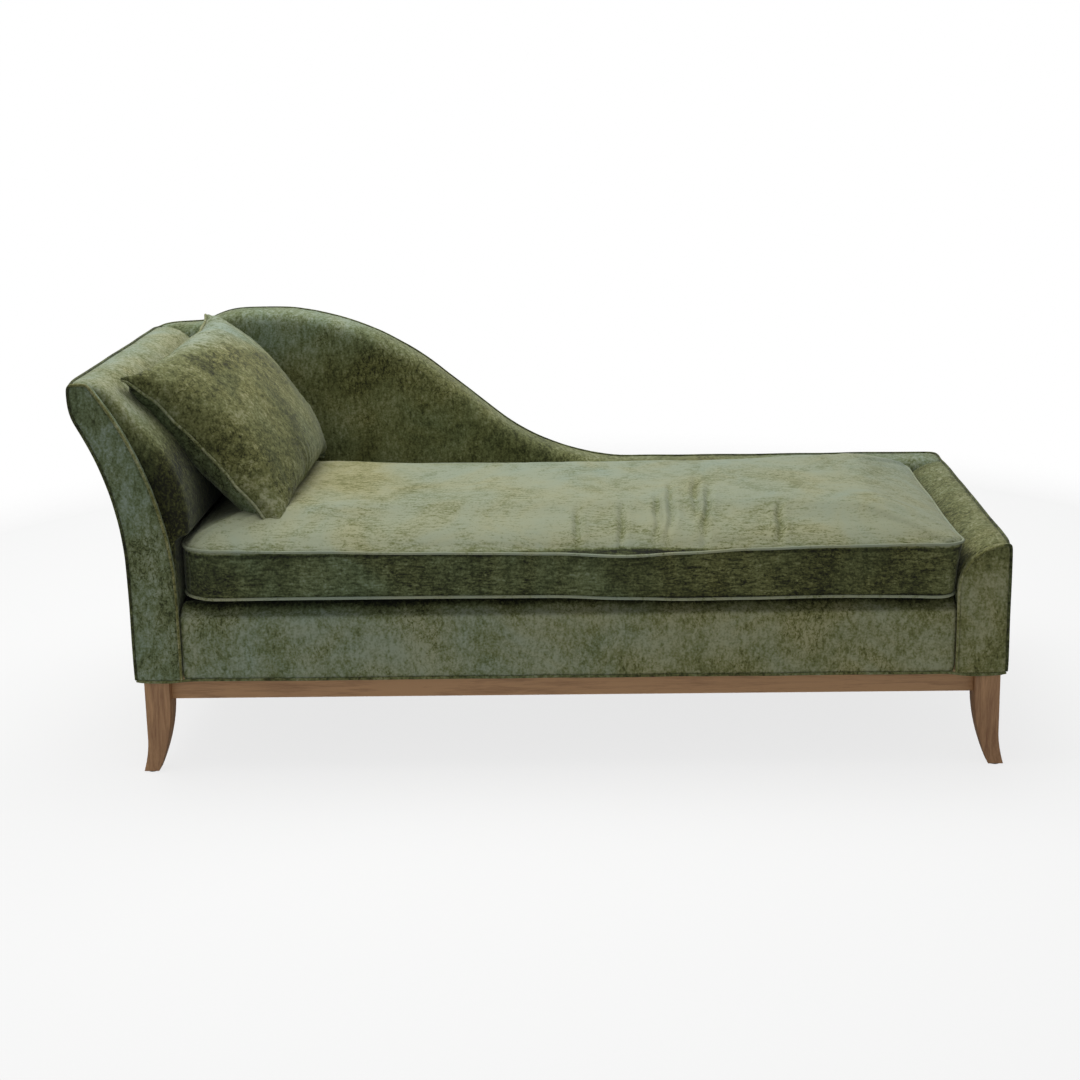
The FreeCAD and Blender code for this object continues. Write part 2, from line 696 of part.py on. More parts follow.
def spring_wire(x, y0, y1, z):
    """A flat zigzag wire from one clip to the other."""
    runs = max(int(floor((y1 - y0) / s.spring_pitch)), 2)
    pitch = (y1 - y0) / runs
    half = s.spring_width / 2 - pitch / 2
    edges = []
    side = -1
    for i in range(runs + 1):
        y = y0 + i * pitch
        edges.append(Part.makeLine(Vector(x + side * half, y, z), Vector(x - side * half, y, z)))
        if i < runs:
            start = Vector(x - side * half, y, z)
            middle = Vector(x - side * (half + pitch / 2), y + pitch / 2, z)
            end = Vector(x - side * half, y + pitch, z)
            edges.append(Part.Arc(start, middle, end).toShape())
        side = -side
    return cord(edges, s.spring_wire_radius)


def clip(x, y, z):
    """A clip folded round the end run of a spring."""
    height = 2 * (s.clip_thickness + s.spring_wire_radius)
    corner = Vector(x - s.clip_length / 2, y - s.clip_depth / 2, z - height / 2)
    body = Part.makeBox(s.clip_length, s.clip_depth, height, corner)
    bore = s.spring_wire_radius + s.fit_gap / 2
    start = Vector(x - s.clip_length, y, z)
    return body.cut(Part.makeCylinder(bore, 2 * s.clip_length, start, Vector(1, 0, 0)))


def make_springs():
    count = int(round(s.spring_count))
    first = s.tuck_x
    spacing = (s.foot_in_x - first) / count
    y0 = s.frame_front_y + s.seat_rail_thickness / 2
    y1 = s.frame_rear_y - s.seat_rail_thickness / 2
    z = s.seat_rail_top + s.clip_thickness + s.spring_wire_radius
    middles = [first + spacing * (i + 0.5) for i in range(count)]
    wires = [spring_wire(x, y0, y1, z) for x in middles]
    clips = [clip(x, y, z) for x in middles for y in (y0, y1)]
    keep(shaped("Springs", Part.makeCompound(wires)), "sinuous_springs")
    keep(shaped("Clips", Part.makeCompound(clips)), "spring_clips")


# Hidden seat frame


def make_seat_frame():
    low = "Sizes.base_height"
    top = "Places.seat_rail_top"
    thick = "Sizes.seat_rail_thickness"
    front = ("Places.frame_front_y", f"Places.frame_front_y + {thick}")
    rear = (f"Places.frame_rear_y - {thick}", "Places.frame_rear_y")
    head = ("Places.frame_head_x", f"Places.frame_head_x + {thick}")
    foot = (f"Places.frame_foot_x - {thick}", "Places.frame_foot_x")
    front_rail = board("FrontSeatBoard", head[0], foot[1], *front, low, top)
    rear_rail = board("RearSeatBoard", "Places.head_corner_x", foot[1], *rear, low, top)
    keep(board("HeadSeatRail", *head, front[1], "Places.head_corner_y", low, top), "head_seat_rail")
    keep(board("FootSeatRail", *foot, front[1], rear[0], low, top), "foot_seat_rail")
    cross = []
    screws = []
    holes = []
    radius = "Sizes.screw_radius"
    clear = "Sizes.screw_radius + Sizes.fit_gap / 2"
    length = "Sizes.screw_length"
    screw_z = "Sizes.base_height + Sizes.cross_rail_height - Sizes.screw_drop"
    for name, sign in (("HeadCross", "-"), ("MidCross", "0 *"), ("FootCross", "")):
        x = f"({sign} Sizes.cross_rail_reach)"
        half = f"{thick} / 2"
        cross.append(board(name, f"{x} - {half}", f"{x} + {half}", front[1], rear[0], low,
                           "Sizes.base_height + Sizes.cross_rail_height"))
        for end, y, angle in (("Front", front[0], -90), ("Rear", rear[1], 90)):
            at = (x, y, screw_z, Vector(1, 0, 0), angle)
            screws.append(rod(f"{name}{end}Screw", radius, length, *at))
            holes.append(rod(f"{name}{end}Hole", clear, length, *at))
    bored = group("ScrewHoles", holes)
    keep(cut("FrontSeatRail", front_rail, bored), "front_seat_rail")
    keep(cut("RearSeatRail", rear_rail, bored), "rear_seat_rail")
    keep(cut("CrossRails", group("CrossBoards", cross), bored), "cross_rails")
    keep(group("FrameScrews", screws), "frame_screws")


def make_corner_blocks():
    """Three-cornered blocks in the seat frame; the one at the rounded corner joins its rails."""
    side = s.corner_block_side
    head = s.frame_head_x + s.seat_rail_thickness
    foot = s.frame_foot_x - s.seat_rail_thickness
    front = s.frame_front_y + s.seat_rail_thickness
    rear = s.frame_rear_y - s.seat_rail_thickness
    blocks = []
    for x, y, dx, dy in ((head, front, 1, 1), (foot, front, -1, 1), (foot, rear, -1, -1)):
        corners = [Vector(x, y, s.base_height), Vector(x + dx * side, y, s.base_height),
                   Vector(x, y + dy * side, s.base_height)]
        face = Part.Face(Part.makePolygon(corners + corners[:1]))
        blocks.append(face.extrude(UP * s.seat_rail_height))
    region = block(s.frame_head_x - 1, s.head_corner_x, s.head_corner_y, s.frame_rear_y,
                   s.base_height, s.seat_rail_top)
    blocks.append(region.common(body_frame))
    keep(shaped("CornerBlocks", Part.makeCompound(blocks)), "corner_blocks")


def make_head_and_foot_rails():
    """Rails from post to post; the top rails are bevelled and rounded like the posts."""
    front = s.block_front_y + s.liner + s.post_thickness
    rear = s.wing_y - s.fit_gap - s.post_thickness
    head_top = s.head_height - s.post_top_drop - s.post_edge_foam
    head_space = prism(head_frame_outline(0), front, rear)
    upper = head_space.common(above(head_top - s.head_rail_section))
    keep(shaped("HeadTopRail", upper), "head_top_rail")
    foot_low = s.foot_height - s.tuck_foam - s.foot_rail_height
    foot_space = prism(foot_frame_outline(0), front, rear)
    foot_region = block(s.frame_foot_x - s.foot_rail_width, FAR, -FAR, FAR, foot_low, FAR)
    keep(shaped("FootTopRail", foot_space.common(foot_region)), "foot_top_rail")
    side = "Sizes.head_rail_section"
    front_y = "Places.block_front_y + Places.liner + Sizes.post_thickness"
    rear_y = "Places.wing_y - Sizes.fit_gap - Sizes.post_thickness"
    lower = board("HeadLowerRail", "Places.frame_head_x", f"Places.frame_head_x + {side}",
                  front_y, rear_y, "Sizes.head_lower_rail_height",
                  f"Sizes.head_lower_rail_height + 2 * {side}")
    keep(lower, "head_lower_rail")


# Wooden base


def leg_outline(name, width, label):
    """A body whose sketch is the sabre leg seen from one side, drawn out to both sides."""
    body = doc.addObject("PartDesign::Body", name)
    sketch = body.newObject("Sketcher::SketchObject", f"{name}Outline")
    plane = next(f for f in body.Origin.OriginFeatures if f.Role == label)
    sketch.AttachmentSupport = [(plane, "")]
    sketch.MapMode = "FlatFace"
    full = float(sheet.get(width))
    high = s.leg_height
    toe, kick = s.leg_toe, s.leg_kick
    bow_z, kick_z = s.leg_bow_start, s.leg_kick_start
    bow = full - (toe - kick)
    bow_radius = (bow_z ** 2 + bow ** 2) / (2 * bow)
    kick_radius = (kick_z ** 2 + kick ** 2) / (2 * kick)
    line, arc = Part.LineSegment, Part.ArcOfCircle
    circle = Part.Circle
    flat = [
        line(Vector(0, high, 0), Vector(full, high, 0)),
        line(Vector(full, high, 0), Vector(full, bow_z, 0)),
        arc(circle(Vector(full - bow_radius, bow_z, 0), UP, bow_radius),
            -atan2(bow_z, bow_radius - bow), 0),
        line(Vector(toe - kick, 0, 0), Vector(-kick, 0, 0)),
        arc(circle(Vector(-kick_radius, kick_z, 0), UP, kick_radius),
            -atan2(kick_z, kick_radius - kick), 0),
        line(Vector(0, kick_z, 0), Vector(0, high, 0)),
    ]
    sketch.addGeometry(flat, False)
    rule = Sketcher.Constraint
    joins = [
        rule("Coincident", 0, 2, 1, 1), rule("Tangent", 1, 2, 2, 2), rule("Coincident", 2, 1, 3, 1),
        rule("Coincident", 3, 2, 4, 1), rule("Tangent", 4, 2, 5, 1), rule("Coincident", 5, 2, 0, 1),
        rule("Horizontal", 0), rule("Vertical", 1), rule("Horizontal", 3), rule("Vertical", 5),
        rule("PointOnObject", 3, 1, -1), rule("PointOnObject", 0, 1, -2),
    ]
    sketch.addConstraint(joins)
    measures = [
        ("Top", rule("DistanceX", 0, 1, 0, 2, full), width),
        ("Tall", rule("DistanceY", 3, 1, 0, 2, high), "height"),
        ("Toe", rule("DistanceX", 3, 2, 3, 1, toe), "leg_toe"),
        ("Kick", rule("DistanceX", 3, 2, 0, 1, kick), "leg_kick"),
        ("BowStart", rule("DistanceY", 3, 1, 1, 2, bow_z), "leg_bow_start"),
        ("KickStart", rule("DistanceY", 3, 2, 5, 1, kick_z), "leg_kick_start"),
    ]
    for title, constraint, source in measures:
        number = sketch.addConstraint(constraint)
        sketch.renameConstraint(number, title)
        text = "Places.leg_height" if source == "height" else f"Sizes.{source}"
        sketch.setExpression(f"Constraints.{title}", text)
    pad = body.newObject("PartDesign::Pad", f"{name}Pad")
    pad.Profile = sketch
    pad.Midplane = True
    pad.setExpression("Length", "4 * (Sizes.leg_width + Sizes.leg_depth)")
    return body


def make_base():
    across = leg_outline("LegFromFront", "leg_width", "XZ_Plane")
    deep = leg_outline("LegFromEnd", "leg_depth", "YZ_Plane")
    form = doc.addObject("Part::Common", "LegForm")
    form.Base = across
    form.Tool = deep
    put(form, "Places.leg_head_x", "Places.leg_front_y", "Sizes.glide_height")
    braces_x = "Places.leg_head_x + Sizes.leg_width"
    braces_y = "Places.leg_front_y + Sizes.leg_depth"
    reach = "(Sizes.brace_thickness + Sizes.bolt_head_height) / sqrt(2)"
    at = (f"{braces_x} + {reach}", f"{braces_y} + {reach}", "Places.brace_z")
    lean = FreeCAD.Rotation(Vector(-1, 1, 0), -90)
    bolt_shank = doc.addObject("Part::Cylinder", "BoltShank")
    bind(bolt_shank, Radius="Sizes.bolt_radius", Height="Sizes.bolt_length")
    bolt_head = doc.addObject("Part::Cylinder", "BoltHead")
    bind(bolt_head, Radius="Sizes.bolt_head_radius", Height="Sizes.bolt_head_height")
    bore = doc.addObject("Part::Cylinder", "BoltBore")
    bind(bore, Radius="Sizes.bolt_radius + Sizes.fit_gap / 2", Height="Sizes.bolt_length + 2")
    for bar in (bolt_shank, bolt_head, bore):
        bar.Placement = FreeCAD.Placement(Vector(), lean)
        put(bar, *at)
    bolt = doc.addObject("Part::Fuse", "Bolt")
    bolt.Base = bolt_shank
    bolt.Tool = bolt_head
    leg = cut("FrontHeadLeg", form, bore)
    brace_slab = shaped_brace(bore)
    glide = rod("Glide", "Sizes.glide_radius", "Sizes.glide_height",
                "Places.leg_head_x + Sizes.leg_toe / 2 - Sizes.leg_kick",
                "Places.leg_front_y + Sizes.leg_toe / 2 - Sizes.leg_kick", "0", UP, 0)
    mid_x = "(Places.leg_head_x + Places.leg_foot_x) / 2"
    legs = four_corners("Leg", leg, mid_x)
    names = ("front_head_leg", "rear_head_leg", "front_foot_leg", "rear_foot_leg")
    for piece, label in zip(legs, names):
        keep(piece, label)
    keep(group("Glides", four_corners("Glide", glide, mid_x)), "leg_glides")
    keep(group("Braces", four_corners("Brace", brace_slab, mid_x)), "corner_braces")
    keep(group("Bolts", four_corners("Bolt", bolt, mid_x)), "leg_bolts")
    low, top = "Places.rail_bottom", "Sizes.base_height"
    recess, thick = "Sizes.rail_recess", "Sizes.rail_thickness"
    head_leg = "Places.leg_head_x + Sizes.leg_width"
    foot_leg = "Places.leg_foot_x - Sizes.leg_width"
    front_leg = "Places.leg_front_y + Sizes.leg_depth"
    rear_leg = "Places.leg_rear_y - Sizes.leg_depth"
    front_y = f"Places.leg_front_y + {recess}"
    rear_y = f"Places.leg_rear_y - {recess}"
    head_x = f"Places.leg_head_x + {recess}"
    foot_x = f"Places.leg_foot_x - {recess}"
    keep(board("FrontRail", head_leg, foot_leg, front_y, f"{front_y} + {thick}", low, top),
         "front_rail")
    keep(board("RearRail", head_leg, foot_leg, f"{rear_y} - {thick}", rear_y, low, top),
         "rear_rail")
    keep(board("HeadRail", head_x, f"{head_x} + {thick}", front_leg, rear_leg, low, top),
         "head_rail")
    keep(board("FootRail", f"{foot_x} - {thick}", foot_x, front_leg, rear_leg, low, top),
         "foot_rail")
    dust = board("DustCloth", head_leg, foot_leg, front_leg, rear_leg,
                 f"{top} - Sizes.dust_cover_thickness", top)
    keep(dust, "dust_cover")


def shaped_brace(bore):
    """A brace across the corner of the base, behind the leg's inner corner."""
    corner_x = s.leg_head_x + s.leg_width
    corner_y = s.leg_front_y + s.leg_depth
    rail_x = s.leg_head_x + s.rail_recess + s.rail_thickness
    rail_y = s.leg_front_y + s.rail_recess + s.rail_thickness
    near = corner_x + corner_y
    far = near + s.brace_thickness * 2 ** 0.5
    plan = [(near - rail_y, rail_y), (far - rail_y, rail_y), (rail_x, far - rail_x),
            (rail_x, near - rail_x)]
    low = s.base_height - s.rail_height + s.fit_gap
    corners = [Vector(x, y, low) for x, y in plan]
    height = s.rail_height - s.dust_cover_thickness - 2 * s.fit_gap
    face = Part.Face(Part.makePolygon(corners + corners[:1]))
    return cut("Brace", shaped("BraceSlab", face.extrude(UP * height)), bore)


def four_corners(name, piece, mid_x):
    """The piece at the front head corner and its mirror images at the other three."""
    rear = mirrored(f"{name}RearHead", piece, Vector(0, 1, 0))
    rear.setExpression("Base.y", "(Places.leg_front_y + Places.leg_rear_y) / 2")
    front_foot = mirrored(f"{name}FrontFoot", piece, Vector(1, 0, 0), mid_x)
    rear_foot = mirrored(f"{name}RearFoot", rear, Vector(1, 0, 0), mid_x)
    return [piece, rear, front_foot, rear_foot]


# Seat cushion


def cushion_plan(outset, radius):
    """The cushion's outline from above, as (a, b, radius), grown by outset."""
    side = 3 * s.welt_radius + s.cushion_gap + s.fit_gap - outset
    x0 = s.facing_in_x + side
    x1 = s.foot_in_x - side
    y0 = s.front_y + s.notch - outset
    y1 = s.wing_y - s.cushion_rear_gap - 2 * s.welt_radius - s.fit_gap + outset
    return [(x0, y0, radius), (x1, y0, radius), (x1, y1, radius), (x0, y1, radius)]


def cushion_form(t):
    """The cushion drawn in by t: a rounded underside, the boxing and the crowned top."""
    radius = s.cushion_corner_radius - t
    skirt = s.cushion_skirt - s.fit_gap - t
    crown = s.cushion_crown - t
    turns = [pi * i / 12 for i in range(7)]
    under = [(s.lower_welt_z - skirt * sin(a), t + s.cushion_slope / 2 * (1 - cos(a)))
             for a in reversed(turns)]
    mid_z = (s.lower_welt_z + s.upper_welt_z) / 2
    boxing = [(s.lower_welt_z, t), (mid_z, t + s.cushion_draw), (s.upper_welt_z, t)]
    top = [(s.upper_welt_z + crown * sin(a), t + s.cushion_slope * (1 - cos(a))) for a in turns]
    layers = []
    for levels in (under, boxing, top):
        wires = [Part.Wire(rounded(cushion_plan(-draw, radius), from_above(z)))
                 for z, draw in levels]
        layers.append(Part.makeLoft(wires, True, True))
    return layers[0].multiFuse(layers[1:])


def cushion_cord(z):
    plan = cushion_plan(s.notch, s.cushion_corner_radius + s.notch)
    middle = ((plan[2][0] + plan[3][0]) / 2, plan[2][1], 0)
    corners = [middle, plan[3], plan[0], plan[1], plan[2], middle]
    return cord(rounded(corners, from_above(z), closed=False), s.welt_radius)


def make_cushion():
    t = s.cushion_cover_thickness
    outer = cushion_form(0)
    keep(shaped("CushionCloth", outer.cut(cushion_form(t))), "seat_cushion_cover")
    keep(shaped("CushionCore", cushion_form(t + s.fit_gap)), "seat_cushion_core")
    keep(shaped("CushionLowerWelt", cushion_cord(s.lower_welt_z)), "cushion_lower_welt")
    keep(shaped("CushionUpperWelt", cushion_cord(s.upper_welt_z)), "cushion_upper_welt")
    face_y = ("Places.wing_y - Sizes.cushion_rear_gap - 2 * Sizes.welt_radius - Sizes.fit_gap"
              " - Sizes.cushion_draw + Sizes.fit_gap")
    mid_z = "(Places.lower_welt_z + Places.upper_welt_z) / 2"
    mid_x = "(Places.facing_in_x + Places.foot_in_x) / 2"
    tape = board("ZipTape", f"{mid_x} - Sizes.zip_length / 2", f"{mid_x} + Sizes.zip_length / 2",
                 face_y, f"{face_y} + Sizes.zip_thickness",
                 f"{mid_z} - Sizes.zip_width / 2", f"{mid_z} + Sizes.zip_width / 2")
    keep(tape, "cushion_zip")
    slider_x = f"{mid_x} + Sizes.zip_length / 2 - Sizes.slider_length"
    slider_y = f"{face_y} + Sizes.zip_thickness + Sizes.fit_gap"
    slider = board("ZipSlider", slider_x, f"{slider_x} + Sizes.slider_length",
                   slider_y, f"{slider_y} + Sizes.slider_thickness",
                   f"{mid_z} - Sizes.slider_width / 2", f"{mid_z} + Sizes.slider_width / 2")
    keep(slider, "zip_slider")


# Throw pillow, made flat and then leant on the head pad


def pillow_half_width(v):
    """Half the width at height v: the sides are drawn in as one long arc."""
    half_height = s.pillow_height / 2
    radius = (half_height ** 2 + s.pillow_draw ** 2) / (2 * s.pillow_draw)
    inwards = (radius ** 2 - v ** 2) ** 0.5 - (radius - s.pillow_draw)
    return s.pillow_width / 2 - inwards


def pillow_form(t):
    """A knife-edged pillow in its own frame: X is its thickness, Y its width, Z its height."""
    steps = 9
    wires = []
    for i in range(steps):
        v = (s.pillow_height / 2 - t) * (2 * i / (steps - 1) - 1)
        swell = sin(pi * i / (steps - 1)) ** 0.7
        half = pillow_half_width(v) - t
        edge = s.pillow_edge - t / 2
        front = edge + (s.pillow_front - s.pillow_edge - t / 2) * swell + s.fit_gap
        back = edge + (s.pillow_back - s.pillow_edge - t / 2) * swell + s.fit_gap
        a = Vector(edge, -half, v)
        b = Vector(edge, half, v)
        c = Vector(-edge, half, v)
        d = Vector(-edge, -half, v)
        wires.append(Part.Wire([
            Part.Arc(a, Vector(front, 0, v), b).toShape(), Part.makeLine(b, c),
            Part.Arc(c, Vector(-back, 0, v), d).toShape(), Part.makeLine(d, a),
        ]))
    return Part.makeLoft(wires, True, False)


def pillow_cord():
    """The cord round the pillow's edge, with drawn-in sides and tight corners."""
    off = s.notch + s.fit_gap
    half_height = s.pillow_height / 2 + off
    half_width = s.pillow_width / 2 + off
    sweep = (half_height ** 2 + s.pillow_draw ** 2) / (2 * s.pillow_draw)
    waist = half_width - 2 * s.pillow_draw
    ear = s.pillow_corner_radius
    outline = [
        (0, -half_height, 0),
        (half_width, -half_height, ear),
        (waist, 0, sweep * 0.97),
        (half_width, half_height, ear),
        (-half_width, half_height, ear),
        (-waist, 0, sweep * 0.97),
        (-half_width, -half_height, ear),
    ]
    return cord(rounded(outline, lambda a, b: Vector(0, a, b)), s.welt_radius)


def make_pillow():
    t = s.pillow_cover_thickness
    cloth = pillow_form(0).cut(pillow_form(t))
    filling = pillow_form(t + s.fit_gap)
    lean = radians(s.pad_lean)
    reach = s.pillow_back + 2 * s.fit_gap
    rise = (s.pillow_height / 2 + s.notch + s.fit_gap) * cos(lean)
    z = s.upper_welt_z + s.cushion_crown + 2 * s.fit_gap + s.welt_radius + rise
    x = s.pad_x - (z - s.pad_bend_height) * tan(lean) + reach / cos(lean)
    half_width = s.pillow_width / 2 + s.notch + s.fit_gap + s.welt_radius
    y = s.wing_y - s.cushion_rear_gap - half_width
    at = FreeCAD.Placement(Vector(x, y, z), FreeCAD.Rotation(Vector(0, 1, 0), -s.pad_lean))
    pieces = (("PillowCloth", cloth, "pillow_cover"), ("PillowFill", filling, "pillow_filling"),
              ("PillowWelt", pillow_cord(), "pillow_welt"))
    for name, shape, label in pieces:
        piece = keep(shaped(name, shape), label)
        piece.Placement = at


FOOT_FACING = [FOOT[0], FOOT[1], (s.foot_x, s.foot_height, s.facing_corner_radius / 2), FOOT[3]]
make_base()
make_seat_frame()
make_corner_blocks()
make_posts()
make_head_and_foot_rails()
make_springs()
make_deck()
make_apron()
make_padding()
make_outside_covers()
make_inside_covers()
make_facing(HEAD_FACING, "Head", [3, 4, 5])
make_facing(FOOT_FACING, "Foot", [0, 1])
keep(shaped("TopEdgeWelt", top_edge_cord()), "top_edge_welt")
keep(shaped("BottomWelt", bottom_cord()), "bottom_welt")
make_cushion()
make_pillow()

doc.recompute()
for item in doc.Objects:
    if "Invalid" in item.State or "Error" in item.State:
        raise RuntimeError(f"{item.Name} failed: {item.State}")
for piece in parts:
    if piece.Shape.isNull() or not piece.Shape.isValid():
        raise RuntimeError(f"{piece.Label} has no valid shape")

os.makedirs("parts", exist_ok=True)
for piece in parts:
    piece.Shape.exportStep(f"parts/{piece.Label}.step")
    print(f"{piece.Label}: {len(piece.Shape.Solids)} solids, {piece.Shape.Volume:.0f} mm3")
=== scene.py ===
"""A chaise longue in mottled green chenille on a brown oak base, dressed for a still."""
from math import atan2, cos, exp, pi, radians, sin, tan

import bmesh
import bpy
from bpy.props import FloatProperty, FloatVectorProperty, PointerProperty
from mathutils import Matrix, Vector, noise


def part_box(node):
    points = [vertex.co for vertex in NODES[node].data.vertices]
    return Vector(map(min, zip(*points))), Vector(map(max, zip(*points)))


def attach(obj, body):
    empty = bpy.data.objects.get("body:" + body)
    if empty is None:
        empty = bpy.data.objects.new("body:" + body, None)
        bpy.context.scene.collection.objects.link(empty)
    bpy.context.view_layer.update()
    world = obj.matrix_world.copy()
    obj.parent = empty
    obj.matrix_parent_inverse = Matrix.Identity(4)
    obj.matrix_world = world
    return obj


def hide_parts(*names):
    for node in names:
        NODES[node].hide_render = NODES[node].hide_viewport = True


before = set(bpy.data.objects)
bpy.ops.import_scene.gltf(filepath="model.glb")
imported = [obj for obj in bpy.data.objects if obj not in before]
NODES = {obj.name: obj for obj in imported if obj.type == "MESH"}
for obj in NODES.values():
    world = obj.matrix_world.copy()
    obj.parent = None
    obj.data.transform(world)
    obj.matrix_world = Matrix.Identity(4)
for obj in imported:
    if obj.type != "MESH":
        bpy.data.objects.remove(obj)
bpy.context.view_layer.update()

bl_info = {
    "name": "Chaise Longue",
    "version": (1, 0, 0),
    "blender": (4, 5, 0),
    "location": "3D View > Sidebar > Chaise",
    "description": "Dresses a chaise longue frame with cloth, piping, cushions and oak",
    "category": "Object",
}

MM = 0.001


def hex_colour(text):
    """An sRGB hex colour as linear red, green, blue and alpha."""
    parts = [int(text[i:i + 2], 16) / 255 for i in (1, 3, 5)]
    return [c / 12.92 if c <= 0.04045 else ((c + 0.055) / 1.055) ** 2.4 for c in parts] + [1.0]


def colour_setting(name, description, text):
    return FloatVectorProperty(name=name, description=description, subtype="COLOR", size=4,
                               min=0, max=1, default=hex_colour(text))


def length_setting(name, description, millimetres):
    return FloatProperty(name=name, description=description, default=millimetres * MM,
                         subtype="DISTANCE", unit="LENGTH")


# Settings


class ChaiseCloth(bpy.types.PropertyGroup):
    """Colours of the chenille, also used for its painted light, shade and sheen"""

    # The pale colour also paints light on lit tops and cords, the dark one painted shade, and the
    # cool tint painted sheen
    light: colour_setting("Pale pile and painted light", "Chenille where the pile lies towards the light", "#a0a796")
    mid: colour_setting("Pile", "Chenille in the middle of its range", "#747c59")
    dark: colour_setting("Crushed pile and painted shade", "Chenille where the pile is crushed", "#474d30")
    cool: colour_setting("Cool bloom", "Tint of the pile where it looks bluish", "#e0ebea")
    warm: colour_setting("Warm depth", "Tint of the pile where it looks olive", "#fff0cc")


class ChaisePadding(bpy.types.PropertyGroup):
    """Relief of the body's padding, and its piping"""

    hollow: length_setting("Hollows", "Depth of the shallow hollows in the padding", 1.6)
    gather: length_setting("Gathers", "Depth of the gathers beside the facings", 1.3)
    cord: length_setting("Piping", "Radius of the piping", 2.9)


class ChaiseCushion(bpy.types.PropertyGroup):
    """Relief of the seat cushion"""

    swell: length_setting("Swell", "How far the filling may push the cloth out", 9)
    crease: length_setting("Creases", "Depth of the creases in the crowned top", 6)
    pucker: length_setting("Puckers", "Depth of the puckers in the boxing", 2.6)


class ChaisePillow(bpy.types.PropertyGroup):
    """Relief of the throw pillow, and how it has settled"""

    swell: length_setting("Swell", "How far the filling may push the cloth out", 22)
    gather: length_setting("Gathers", "Depth of the gathers along the seam", 5)
    drop: length_setting("Drop", "How far the pillow sinks into the cushion", 17)
    slide: length_setting("Slide", "How far the pillow slides away from the head end", 18)
    roll: FloatProperty(name="Roll", description="Turn of the pillow in its own plane",
                        default=radians(2.6), subtype="ANGLE", unit="ROTATION")
    turn: FloatProperty(name="Turn", description="Turn of the pillow about the upright",
                        default=radians(-3.5), subtype="ANGLE", unit="ROTATION")


class ChaiseWood(bpy.types.PropertyGroup):
    """Colours and edges of the oak"""

    light: colour_setting("Light oak", "Oak between its grain lines", "#b68c62")
    dark: colour_setting("Dark oak", "Oak in its grain lines", "#7c5536")
    edge: length_setting("Edges", "Round of the oak's edges", 1.5)


class ChaiseStage(bpy.types.PropertyGroup):
    """Floor and light"""

    floor: colour_setting("Floor", "Plain pale floor", "#f4f4f2")
    key: FloatProperty(name="Key", description="Power of the softbox above", default=84,
                       subtype="POWER")
    fill: FloatProperty(name="Fill", description="Power of the softbox in front", default=4,
                        subtype="POWER")
    sky: FloatProperty(name="Sky", description="Strength of the even light all round",
                       default=0.3)


SETTINGS = {
    "chaise_cloth": ChaiseCloth,
    "chaise_padding": ChaisePadding,
    "chaise_cushion": ChaiseCushion,
    "chaise_pillow": ChaisePillow,
    "chaise_wood": ChaiseWood,
    "chaise_stage": ChaiseStage,
}


# Meshes

FILLING_FRAMES = 20
FILLING_QUALITY = 4


def new_piece(name, data, body, slot, material, *nodes):
    """A named piece that rides on a body and stands for CAD nodes."""
    piece = bpy.data.objects.new(name, data)
    bpy.context.scene.collection.objects.link(piece)
    data.materials.clear()
    data.materials.append(material)
    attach(piece, body)
    if nodes:
        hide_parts(*nodes)
    return piece


def mesh_from(bm, name, smooth=True):
    """The bmesh as a new mesh, and the bmesh freed."""
    data = bpy.data.meshes.new(name)
    bm.to_mesh(data)
    bm.free()
    if smooth:
        data.shade_smooth()
    return data


def joined_nodes(*names):
    """One mesh with merged copies of some nodes' solids."""
    bm = bmesh.new()
    for name in names:
        bm.from_mesh(NODES[name].data)
    bmesh.ops.remove_doubles(bm, verts=bm.verts, dist=1e-6)
    return bm


def add_block(bm, x0, x1, y0, y1, z0, z1):
    """Adds a block between six planes, in millimetres."""
    middle = Vector((x0 + x1, y0 + y1, z0 + z1)) * MM / 2
    size = Matrix.Diagonal(Vector((x1 - x0, y1 - y0, z1 - z0)) * MM).to_4x4()
    bmesh.ops.create_cube(bm, size=1, matrix=Matrix.Translation(middle) @ size)


def evaluated_mesh(piece):
    """A new mesh of what the piece's modifiers or bevel make."""
    graph = bpy.context.evaluated_depsgraph_get()
    return bpy.data.meshes.new_from_object(piece.evaluated_get(graph), depsgraph=graph)


def with_modifier(data, kind, **settings):
    """The mesh after one modifier."""
    holder = bpy.data.objects.new("Holder", data)
    bpy.context.scene.collection.objects.link(holder)
    modifier = holder.modifiers.new(kind, kind)
    for key, value in settings.items():
        setattr(modifier, key, value)
    made = evaluated_mesh(holder)
    bpy.data.objects.remove(holder)
    return made


def even_skin(bm, name, voxel, rounds=4):
    """The outer skin of closed solids as even small faces, smoothed a little."""
    rough = with_modifier(mesh_from(bm, name), "REMESH", mode="VOXEL", voxel_size=voxel * MM)
    bm = bmesh.new()
    bm.from_mesh(rough)
    for _ in range(rounds):
        bmesh.ops.smooth_vert(bm, verts=bm.verts, factor=0.5, use_axis_x=True, use_axis_y=True,
                              use_axis_z=True)
    return mesh_from(bm, name)


def moved(data, shift):
    """Moves each point by what shift gives for its place and normal."""
    steps = [shift(v.co, v.normal) for v in data.vertices]
    for vertex, step in zip(data.vertices, steps):
        vertex.co += step
    data.update()


